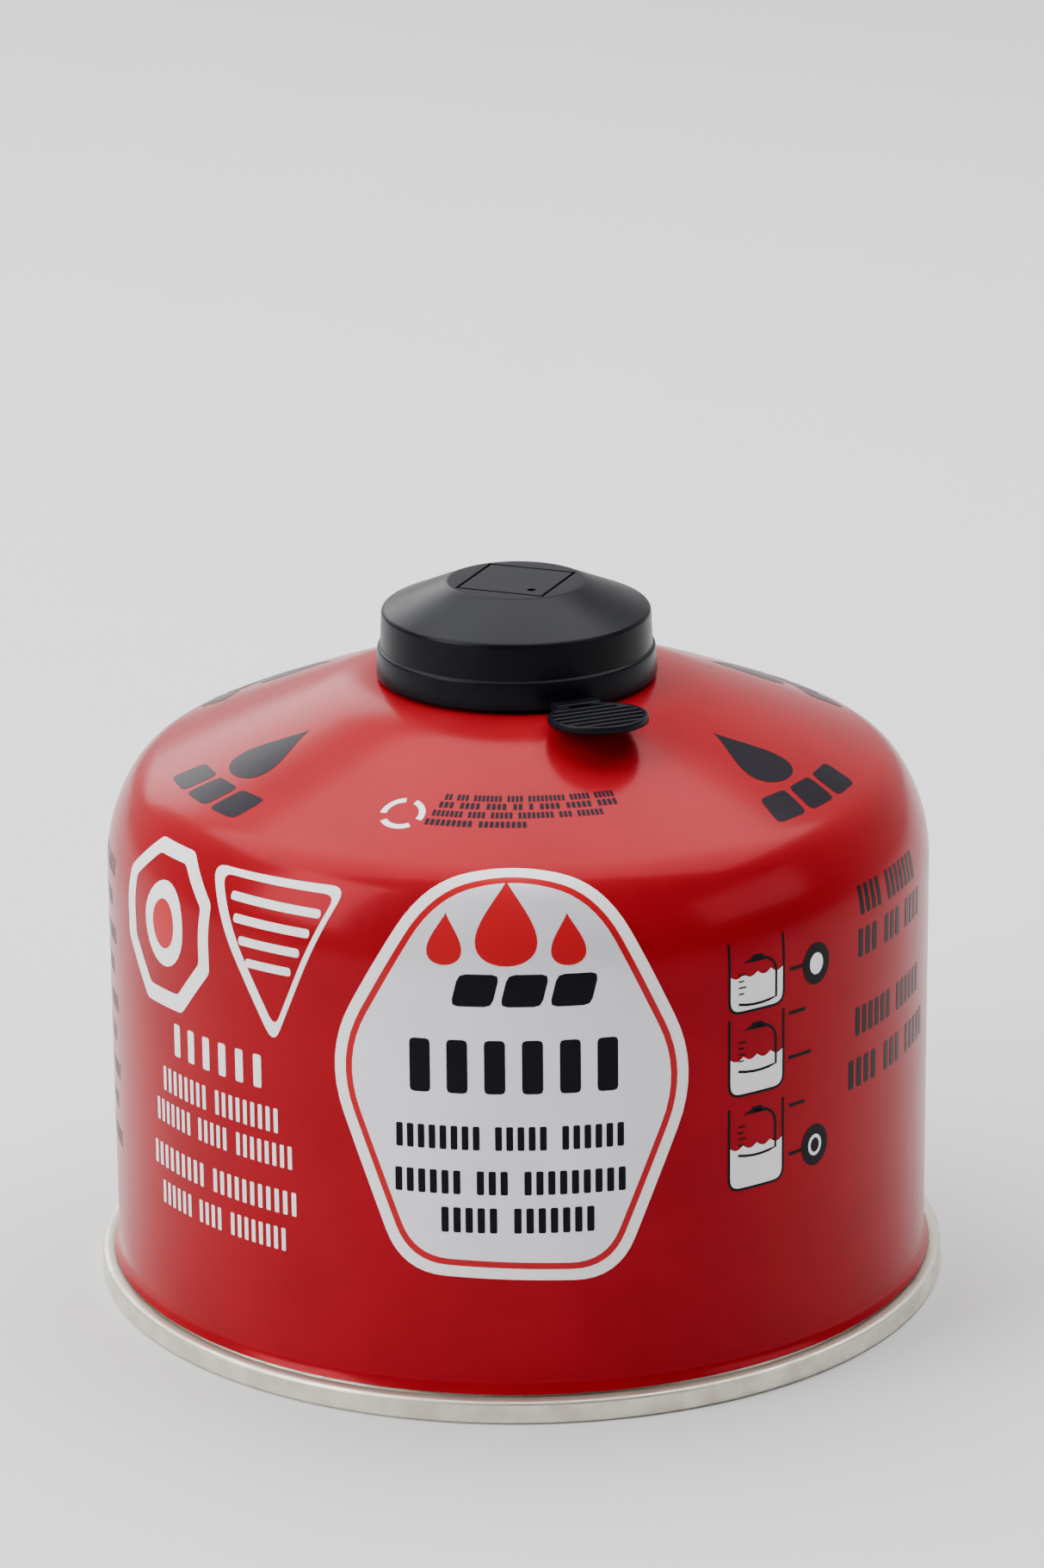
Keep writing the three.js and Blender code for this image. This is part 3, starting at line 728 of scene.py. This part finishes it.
# %% Tree: wrap a flat drawing round the can
wrapping, given = new_tree("wrap_print", {"Flat print": "Geometry", "Skin": "Object",
                           "Print radius": "Float", "Lift": "Float"})
here = add(wrapping, "GeometryNodeInputPosition")
at = add(wrapping, "ShaderNodeSeparateXYZ", {"Vector": here}).outputs
skin = add(wrapping, "GeometryNodeObjectInfo", {"Object": given["Skin"]})
found = add(wrapping, "GeometryNodeSampleCurve", {"Curves": skin.outputs["Geometry"],
            "Length": at["Z"]}, mode="LENGTH").outputs
along = add(wrapping, "ShaderNodeSeparateXYZ", {"Vector": found["Tangent"]}).outputs
out = add(wrapping, "ShaderNodeCombineXYZ", {"Y": calc(wrapping, "MULTIPLY", along["Z"], -1.0),
          "Z": along["Y"]})
film = add(wrapping, "ShaderNodeVectorMath", {0: out, "Scale": given["Lift"]}, operation="SCALE")
raised = add(wrapping, "ShaderNodeVectorMath", {0: found["Position"], 1: film}, operation="ADD")
angle = calc(wrapping, "DIVIDE", at["X"], given["Print radius"])
spun = add(wrapping, "ShaderNodeVectorRotate", {"Vector": raised, "Angle": angle},
           rotation_type="Z_AXIS")
moved = add(wrapping, "GeometryNodeSetPosition", {"Geometry": given["Flat print"],
            "Position": spun})
end_tree(wrapping, moved, given["Finish"])

# %% The can's skin as a line that the drawings follow
skin_points = [(0.0, -WALL_R * MM, 0.0)] + [(0.0, -r * MM, z * MM) for r, z in dome]
skin_line = line_object("skin_line", skin_points)


def skin_at(radius):
    """How far along the skin, in millimetres, the can has narrowed to a radius."""
    gone = WALL_TOP
    for (r0, z0), (r1, z1) in zip(dome, dome[1:]):
        if r1 <= radius <= r0:
            return gone + math.dist((r0, z0), (r1, z1)) * (r0 - radius) / (r0 - r1)
        gone += math.dist((r0, z0), (r1, z1))
    return gone


print("skin from foot to neck", round(skin_at(BEAD_R), 2), "mm")

# %% [markdown]
# ## Drawing flat
# A drawing is a list of shapes. A shape is an outline, with holes if it has any. The shapes are cut
# into triangles and sliced in narrow strips, because a wide flat triangle would cut the corner of a
# round can. A strip of 1.2 mm stays within four thousandths of a millimetre of the wall, and the
# tighter shoulder takes strips of half that.

# %% Helpers: shapes
HALF_RUN, BLOCK_ROUND = 0.49, 0.22
TIP_POWER, WIDEST, DROP_STEPS, ROUND_STEPS = 1.6, 0.83, 40, 28


def soften(corners, cut_back, steps=5):
    """A closed outline with rounded corners. Cut_back is how far from a corner its rounding starts."""
    cuts = cut_back if isinstance(cut_back, list) else [cut_back] * len(corners)
    outline = []
    for i, corner in enumerate(corners):
        ends = []
        for neighbour in (corners[i - 1], corners[(i + 1) % len(corners)]):
            run = Vector(neighbour) - Vector(corner)
            ends.append(Vector(corner) + run.normalized() * min(cuts[i], run.length * HALF_RUN))
        outline += bend(tuple(ends[0]), corner, tuple(ends[1]), steps)
    return outline


def inset(corners, width):
    """The corners of a convex outline, anticlockwise, moved in by a width."""
    lines = []
    for i, corner in enumerate(corners):
        a, b = Vector(corner), Vector(corners[(i + 1) % len(corners)])
        along = (b - a).normalized()
        lines.append((a + Vector((-along.y, along.x)) * width, along))
    moved_in = []
    for (p, u), (q, v) in zip([lines[-1]] + lines[:-1], lines):
        t = ((q - p).x * v.y - (q - p).y * v.x) / (u.x * v.y - u.y * v.x)
        moved_in.append(tuple(p + u * t))
    return moved_in


def bar_shape(x0, k0, x1, k1):
    """A bar with square corners."""
    return [[(x0, k0), (x1, k0), (x1, k1), (x0, k1)]]


def round_shape(x, k, rx, rk):
    """A filled circle or ellipse."""
    return [ring(x, k, rx, rk, ROUND_STEPS)]


def drop_shape(x, k, width, height):
    """A drop that stands on its round end at k."""
    outline = []
    for i in range(DROP_STEPS):
        t = math.tau * i / DROP_STEPS
        side = math.sin(t) * math.sin(t / 2) ** TIP_POWER / WIDEST
        outline.append((x - side * width / 2, k + height * (1 + math.cos(t)) / 2))
    return [outline]


def block_line(x0, x1, low, high, words, ink_share=0.6, slant=0.0):
    """A line of narrow upright blocks. Words count the blocks that stand between its gaps.

    Ink_share is how much of a block's place is inked. Slant moves its top to the right.
    """
    places = sum(words) + len(words) - 1
    pitch = (x1 - x0) / (places - 1 + ink_share)
    width = pitch * ink_share
    shapes, place = [], 0
    for count in words:
        for _ in range(count):
            x = x0 + pitch * place
            corners = [(x, low), (x + width, low), (x + width + slant, high), (x + slant, high)]
            shapes.append([soften(corners, min(width, high - low) * BLOCK_ROUND, 2)])
            place += 1
        place += 1
    return shapes


def block_lines(*rows):
    """The shapes of several lines of blocks."""
    return [shape for row in rows for shape in block_line(*row)]


# %% Helper: a wrapped print from shapes
STRIP, FINE_STRIP = 1.2, 0.6
BASE_LIFT, NEXT_LIFT = 0.03, 0.016
NEARLY_FLAT = 1e-9
TOUCHING = 1e-7
printed = []


def planes(axis, low, high, step):
    """Cutting planes across an axis, a step in millimetres apart."""
    return [(axis, step * MM * n)
            for n in range(math.ceil(low / step / MM), math.ceil(high / step / MM))]


def add_print(name, shapes, ink, layer=0):
    """Cuts shapes in strips and wraps them on the can. Layer counts the colours below this one."""
    work = bmesh.new()
    for rings in shapes:
        vectors = [[Vector((x, k, 0)) for x, k in outline] for outline in rings]
        corners = [v for outline in vectors for v in outline]
        made = [work.verts.new((v.x * MM, 0.0, v.y * MM)) for v in corners]
        for a, b, c in tessellate_polygon(vectors):
            side = ((corners[b] - corners[a]).cross(corners[c] - corners[a])).z
            if abs(side) > NEARLY_FLAT:
                order = (a, b, c) if side > 0 else (a, c, b)
                work.faces.new([made[i] for i in order])
    xs = [v.co.x for v in work.verts]
    ks = [v.co.z for v in work.verts]
    cuts = planes(0, min(xs), max(xs), STRIP)
    if max(ks) > WALL_TOP * MM:
        cuts += planes(2, max(min(ks), WALL_TOP * MM), max(ks), FINE_STRIP)
    for axis, distance in cuts:
        point, normal = [0, 0, 0], [0, 0, 0]
        point[axis], normal[axis] = distance, 1
        bmesh.ops.bisect_plane(work, geom=work.verts[:] + work.edges[:] + work.faces[:],
                               plane_co=point, plane_no=normal, dist=TOUCHING)
    bmesh.ops.dissolve_degenerate(work, edges=work.edges[:], dist=TOUCHING)
    piece = mesh_object(name)
    work.to_mesh(piece.data)
    work.free()
    run_tree(piece, wrapping, {"Skin": skin_line, "Print radius": WALL_R * MM, "Finish": ink,
                               "Lift": (BASE_LIFT + layer * NEXT_LIFT) * MM})
    piece.data.polygons.foreach_set("use_smooth", [True] * len(piece.data.polygons))
    printed.append(piece)
    show(piece)


# %% [markdown]
# ## The badge
# The front carries a tall six-sided badge with soft corners and a low point at the top, tilted a
# little. A white line and a thin red line frame a silver field. Its contents are plain: a large drop
# between two small ones, three slanted blocks, a row of upright blocks and three lines of narrow
# ones, as large and as dark as print would be there.

# %% Badge outline
BADGE_CORNERS = [(-14.9, 18.8), (11.9, 17.9), (22.5, 44.1), (10.9, 68.7), (-0.6, 72.0),
                 (-12.1, 69.0), (-24.8, 46.0)]
CORNER_CUTS = [5.5, 5.5, 8.0, 7.0, 5.8, 7.0, 8.0]
BADGE_WHITE, BADGE_RED, CORNER_SHRINK = 1.45, 0.85, 0.45


def badge_outline(width_in):
    """The badge's outline, moved in by a width, with corners that shrink with it."""
    corners = inset(BADGE_CORNERS, width_in) if width_in else BADGE_CORNERS
    return soften(corners, [c - CORNER_SHRINK * width_in for c in CORNER_CUTS], 8)


add_print("badge_white_frame", [[badge_outline(0)]], white_ink)
add_print("badge_red_line", [[badge_outline(BADGE_WHITE)]], red_ink, 1)
add_print("badge_silver_field", [[badge_outline(BADGE_WHITE + BADGE_RED)]], silver_ink, 2)

# %% Badge contents
DROPS_X, DROPS_K, DROP_W, DROP_TALL = -1.6, 58.8, 9.2, 10.6
SIDE_W, SIDE_TALL, SIDE_X = 5.2, 0.6 * DROP_TALL, 7.6
add_print("badge_red_drops", [drop_shape(DROPS_X, DROPS_K, DROP_W, DROP_TALL),
                              drop_shape(DROPS_X - SIDE_X, DROPS_K, SIDE_W, SIDE_TALL),
                              drop_shape(DROPS_X + SIDE_X, DROPS_K, SIDE_W, SIDE_TALL)], red_ink, 3)
badge_black = block_lines(
    (-8.4, 8.6, 53.7, 57.8, (3,), 0.84, 1.0), (-13.5, 11.9, 42.5, 49.4, (6,), 0.56),
    (-15.3, 12.6, 35.2, 38.3, (8, 5, 6), 0.62), (-15.5, 12.8, 29.4, 32.5, (6, 3, 9), 0.62),
    (-9.8, 8.9, 24.4, 27.7, (5, 7), 0.62))
add_print("badge_black_print", badge_black, black_ink, 3)

# %% [markdown]
# ## The two frames and the white lines on the left
# Beside the badge stand an eight-sided frame with a plain oval inside and a soft-cornered triangle
# with plain bars inside. Under them stand a short row of blocks and four long ones.

# %% Frames
OCTAGON_OUT = [(-56.6, 45.3), (-48.3, 45.6), (-42.5, 52.4), (-42.7, 61.2), (-48.7, 66.6),
               (-56.8, 66.5), (-62.5, 60.9), (-62.3, 51.9)]
OCTAGON_IN = [(-55.6, 47.6), (-49.1, 47.8), (-44.5, 53.1), (-44.5, 60.3), (-49.5, 64.7),
              (-55.8, 64.6), (-60.3, 60.4), (-59.8, 52.7)]
OVAL_X, OVAL_K = -52.2, 56.3
TRIANGLE_OUT = [(-31.9, 45.5), (-22.6, 67.1), (-44.3, 66.3)]
TRIANGLE_IN = [(-31.7, 47.8), (-23.9, 65.9), (-42.1, 65.5)]
BAR_HALF, BAR_TILT = 0.55, 0.1
add_print("white_frames", [[soften(OCTAGON_OUT, 0.6, 2), soften(OCTAGON_IN, 0.5, 2)],
                           [soften(TRIANGLE_OUT, 2.4), soften(TRIANGLE_IN, 1.8)]], white_ink)
insides = [round_shape(OVAL_X, OVAL_K, 4.5, 5.5)]
for k, x0, x1 in ((63.2, -39.6, -25.6), (60.6, -38.5, -26.8), (58.0, -37.3, -28.0),
                  (55.4, -36.1, -29.2)):
    bar = [(x0, k - BAR_HALF), (x1, k - BAR_HALF + BAR_TILT), (x1, k + BAR_HALF + BAR_TILT),
           (x0, k + BAR_HALF)]
    insides.append([soften(bar, 0.4, 2)])
add_print("white_insides", insides, white_ink)
add_print("red_insides", [round_shape(OVAL_X, OVAL_K, 2.5, 3.2)], red_ink, 1)

# %% White lines
left_lines = block_lines(
    (-50.1, -34.0, 39.5, 43.8, (6,), 0.42), (-53.0, -31.6, 34.1, 37.3, (8, 9), 0.5),
    (-54.8, -29.6, 29.7, 32.7, (7, 5, 8), 0.5), (-55.7, -29.1, 23.6, 26.7, (9, 11), 0.5),
    (-53.9, -30.8, 18.7, 21.7, (6, 4, 8), 0.5))
add_print("left_white_lines", left_lines, white_ink)

# %% [markdown]
# ## The gauge on the right
# Three small drawings of a can afloat in a beaker show how full it is, because an empty can floats
# high. Each is a white body of water with a waved top and black outlines of the beaker and of a can
# with its cap and level marks. Ticks and two dots mark the two ends.

# %% Helper: a line of even width through points
def stroke(points, width):
    """A thin band along an open line."""
    sides = ([], [])
    for i, point in enumerate(points):
        before, after = Vector(points[max(i - 1, 0)]), Vector(points[min(i + 1, len(points) - 1)])
        along = (after - before).normalized()
        for side, sign in zip(sides, (1, -1)):
            side.append((point[0] - sign * along.y * width / 2, point[1] + sign * along.x * width / 2))
    return [sides[1] + sides[0][::-1]]


# %% Beakers
BEAKER_X0, BEAKER_X1, BEAKER_BEND, LINE_W = 26.5, 34.6, 1.6, 0.34
WAVES, WAVE_TALL = 4, 0.5
MARKS, MARK_FROM, MARK_STEP, MARK_TALL = 4, 1.2, 0.8, 0.2
MARK_X0, MARK_X1, LONGER = 27.8, 28.6, 0.3
FLOATING_CAN = [(27.8, 0.0), *bend((27.8, 3.4), (27.9, 5.0), (29.9, 5.5), 5), (31.3, 5.5),
                *bend((31.3, 5.5), (33.3, 5.0), (33.4, 3.4), 5),
                *bend((33.4, 0.0), (30.6, -0.7), (27.8, 0.0), 5)]
SMALL_CAP = [(29.8, 5.3), (31.4, 5.3), (31.4, 5.95), (29.8, 5.95)]


def raised_by(points, k):
    """Points moved up the can's skin."""
    return [(x, y + k) for x, y in points]


water, black_lines = [], []
for low, high, surface, can_low in ((50.0, 59.0, 54.9, 51.1), (39.2, 49.2, 44.2, 42.4),
                                    (26.9, 37.6, 32.6, 31.4)):
    foot = turn_corner(BEAKER_X0, low, (0, BEAKER_BEND), (BEAKER_BEND, 0), 5)
    foot += turn_corner(BEAKER_X1, low, (-BEAKER_BEND, 0), (0, BEAKER_BEND), 5)
    waves = []
    for i in range(8 * WAVES + 1):
        x = BEAKER_X1 - (BEAKER_X1 - BEAKER_X0) * i / (8 * WAVES)
        waves.append((x, surface - WAVE_TALL * abs(math.sin(math.pi * i / 8))))
    water.append([foot + waves])
    black_lines.append(stroke([(BEAKER_X0, high), *foot, (BEAKER_X1, high)], LINE_W))
    black_lines.append(stroke(raised_by(FLOATING_CAN, can_low), LINE_W))
    black_lines.append([soften(raised_by(SMALL_CAP, can_low), 0.15, 4)])
    for i in range(MARKS):
        k = can_low + MARK_FROM + MARK_STEP * i
        black_lines.append(bar_shape(MARK_X0, k, MARK_X1 + LONGER * (i % 2), k + MARK_TALL))
add_print("gauge_water", water, white_ink)
add_print("gauge_lines", black_lines, black_ink, 1)

# %% Ticks and dots
TICK_HALF = 0.22
ticks = [bar_shape(x0, k - TICK_HALF, x1, k + TICK_HALF) for k, x0, x1 in
         ((54.0, 35.6, 38.0), (48.3, 35.5, 38.2), (42.5, 35.5, 39.2), (36.2, 35.6, 38.2),
          (29.8, 35.6, 38.0))]
add_print("gauge_ticks", ticks, black_ink)
UPPER_DOT, LOWER_DOT = (40.06, 53.7), (40.0, 29.9)
add_print("gauge_dots", [round_shape(*at_dot, 2.3, 2.7) for at_dot in (UPPER_DOT, LOWER_DOT)],
          black_ink, 1)
ring_sign = round_shape(*LOWER_DOT, 1.15, 1.4) + round_shape(*LOWER_DOT, 0.75, 0.95)
add_print("gauge_signs", [round_shape(*UPPER_DOT, 1.15, 1.4), ring_sign], white_ink, 2)

# %% Black block
right_lines = block_lines(
    (49.0, 65.0, 57.5, 61.2, (4, 7)), (48.4, 67.0, 52.1, 55.8, (3, 3, 4)),
    (47.9, 67.0, 41.9, 45.6, (6, 6)), (46.5, 69.5, 35.1, 38.9, (4, 3, 5)))
add_print("right_black_lines", right_lines, black_ink)

# %% [markdown]
# ## Marks on the dome
# Dark marks repeat round the shoulder, two in front and two behind, each a drop above three slanted
# blocks. Between the front ones are a small broken ring and four thin lines.

# %% Dome marks
BLOCKS_HALF_W, BLOCKS_LOW, BLOCKS_TOP, BLOCKS_SLANT = 11.0, 72.6, 77.2, 1.4
DOME_DROP_K, DOME_DROP_W, DOME_DROP_TALL = 78.4, 14.0, 11.5
dome_marks = []
for centre_degrees in (-63.0, 57.0, -125.0, 121.0):
    x = math.radians(centre_degrees) * WALL_R
    dome_marks += block_line(x - BLOCKS_HALF_W, x + BLOCKS_HALF_W, BLOCKS_LOW, BLOCKS_TOP, (3,),
                             0.84, BLOCKS_SLANT)
    dome_marks.append(drop_shape(x, DOME_DROP_K, DOME_DROP_W, DOME_DROP_TALL))
add_print("dome_dark_marks", dome_marks, slate_ink)

# %% Broken ring
RING_AT_R = 38.3
RING_X, RING_K = math.radians(-21.5) * WALL_R, skin_at(RING_AT_R)
RING_OUT, RING_IN, RING_PARTS, PART_DEGREES = 2.85, 2.05, 3, 88
WIDEN = WALL_R / RING_AT_R
ring_arcs = []
for part in range(RING_PARTS):
    start = math.radians(100 + 360 / RING_PARTS * part)
    sweep = [start + math.radians(PART_DEGREES) * i / 8 for i in range(9)]
    ring_arcs.append([[(RING_X + r * WIDEN * math.cos(a), RING_K + r * math.sin(a))
                       for r, angles in ((RING_OUT, sweep), (RING_IN, sweep[::-1])) for a in angles]])
add_print("dome_white_ring", ring_arcs, white_ink)

# %% Thin lines
THIN_HALF = 0.56
thin_lines = []
for k, from_degrees, to_degrees, words in (
        (83.8, -14.7, 19.5, (2, 3, 7, 4, 9, 5, 5)), (82.3, -15.3, 19.4, (3, 4, 4, 2, 1, 4, 5, 4)),
        (80.7, -16.0, 15.9, (7, 4, 5, 8, 3, 6)), (79.0, -16.7, 1.5, (9, 9))):
    thin_lines += block_line(math.radians(from_degrees) * WALL_R, math.radians(to_degrees) * WALL_R,
                             k - THIN_HALF, k + THIN_HALF, words, 0.72)
add_print("dome_dark_lines", thin_lines, slate_ink)

# %% [markdown]
# ## The back
# The photograph doesn't show the back. It is finished plainly in the same manner: a block of white
# lines and a block of black lines.

# %% Back print
BACK_TOP, LINE_HALF, LINE_STEP = 58.0, 1.1, 4.6
back_white, back_black = [], []
for i in range(9):
    k = BACK_TOP - LINE_STEP * i
    low, high = k - LINE_HALF, k + LINE_HALF
    back_white += block_line(86.0, 124.0 - 3 * (i % 3), low, high, (5, 7, 4, 8, 6), 0.5)
    back_black += block_line(-98.0, -70.0 - 2 * (i % 2), low, high, (4, 8, 6, 5), 0.5)
add_print("back_white_lines", back_white, white_ink)
add_print("back_black_lines", back_black, black_ink)
bpy.data.objects.remove(skin_line)

# %% [markdown]
# ## The valve inside
# The seals, the housing and the stem are true shapes in the frame already. They hide under the cap
# and only take their finishes. The spring gets shorter as the stem is pressed. Here it is swept once
# from round wire, between the foot and the top of the frame's own spring, which it replaces.

# %% Finishes on the frame's own pieces
for node_name, finish in (("neck_gasket", rubber), ("stem_gasket", rubber),
                          ("valve_housing", acetal), ("valve_stem", acetal)):
    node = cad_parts[node_name]
    for material_slot in node.material_slots:
        material_slot.material = finish
    print(node_name, "takes", finish.name, "in", len(node.material_slots), "slot")

# %% The spring
SPRING_R, WIRE_R, SPRING_TURNS = 2.2, 0.3, 6.0
spring_low, spring_high = (corner[2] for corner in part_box("valve_spring"))
spring_coil = coiled("spring_coil", ring(0.0, 0.0, WIRE_R, WIRE_R, 12), SPRING_R,
                     (spring_high - spring_low) / MM - 2 * WIRE_R, SPRING_TURNS,
                     spring_low / MM + WIRE_R, wire, 50)
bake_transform(spring_coil)
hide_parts("valve_spring")

# %% [markdown]
# ## What moves with what
# The can, its end and the valve cup are one body. The cap lifts off it, so it rides on its own body.
# Each new piece also says which solid it stands for and which finish slot it takes.

# %% Riding, replacing and slots
for piece, body, slot_name, stands_for in (
        (can_shell, "canister", "lithographed_steel", "can_body"),
        (bottom_end, "canister", "tinplate", "bottom_end"),
        (valve_cup, "canister", "tinplate", "mounting_cup"),
        (boss_thread, "canister", "tinplate", "mounting_cup"),
        (cap_moulding, "cap", "cap_plastic", "cap")):
    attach(piece, body)
    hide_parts(stands_for)
    print(piece.name, "rides on", body)

for piece in printed:
    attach(piece, "canister")
print(len(printed), "printed pieces ride on canister")

# %% [markdown]
# ## Floor and studio light
# The photograph is a plain packshot on a white ground, with soft light that is stronger from the
# left. A wide pale floor catches a faint shadow. A soft lamp stands at the upper left, a weak one
# fills the right, one behind lights the dome's left rim, and a large ceiling lamp gives most of the
# light and the dome's sheen. The room behind is bright and the room in front is dim, so the wall
# keeps its deep red.

# %% Floor
FLOOR_HALF = 4.0
floor_material, tree, where = new_material("pale_floor")
mottle = tones(tree, noise(tree, where, 30.0), 0.0, 1.0, colour("#d0d0d0"), colour("#d3d3d3"))
shaded(floor_material, {"Base Color": mottle, "Roughness": 0.9})
floor = mesh_object("floor", [(-FLOOR_HALF, -FLOOR_HALF, 0), (FLOOR_HALF, -FLOOR_HALF, 0),
                              (FLOOR_HALF, FLOOR_HALF, 0), (-FLOOR_HALF, FLOOR_HALF, 0)],
                    faces=[(0, 1, 2, 3)])
floor.data.materials.append(floor_material)
print("floor", 2 * FLOOR_HALF, "m wide")

# %% Lamps
MIDDLE = (0, 0, 0.05)
for name, location, target, width, height, power in (
        ("key_left", (-0.8, -0.4, 0.6), MIDDLE, 0.5, 0.7, 12.0),
        ("fill_right", (0.9, -0.35, 0.42), MIDDLE, 0.6, 0.3, 1.6),
        ("rim_left", (-0.5, 1.1, 0.55), MIDDLE, 0.7, 0.5, 4.5),
        ("ceiling", (-0.1, 0.3, 1.0), (-0.1, 0.3, 0.0), 1.9, 1.0, 35.0)):
    data = bpy.data.lights.new(name, "AREA")
    data.shape = "RECTANGLE"
    data.size = width
    data.size_y = height
    data.energy = power
    lamp = bpy.data.objects.new(name, data)
    bpy.context.collection.objects.link(lamp)
    lamp.location = location
    lamp.rotation_euler = (Vector(target) - Vector(location)).to_track_quat("-Z", "Y").to_euler()
    print("lamp", name, power, "W")

# %% World
DIM_FRONT, BRIGHT_BACK = 0.1, 0.8
world = bpy.data.worlds.new("bright_room")
world.use_nodes = True
tree = world.node_tree
direction = add(tree, "ShaderNodeTexCoord").outputs["Generated"]
way = add(tree, "ShaderNodeSeparateXYZ", {"Vector": direction})
backdrop = spread(tree, way.outputs["Y"], 0.0, 0.8, DIM_FRONT, BRIGHT_BACK)
tree.links.new(backdrop.outputs["Result"], tree.nodes["Background"].inputs["Strength"])
tree.nodes["Background"].inputs["Color"].default_value = colour("#ffffff")
bpy.context.scene.world = world
print("world", world.name)
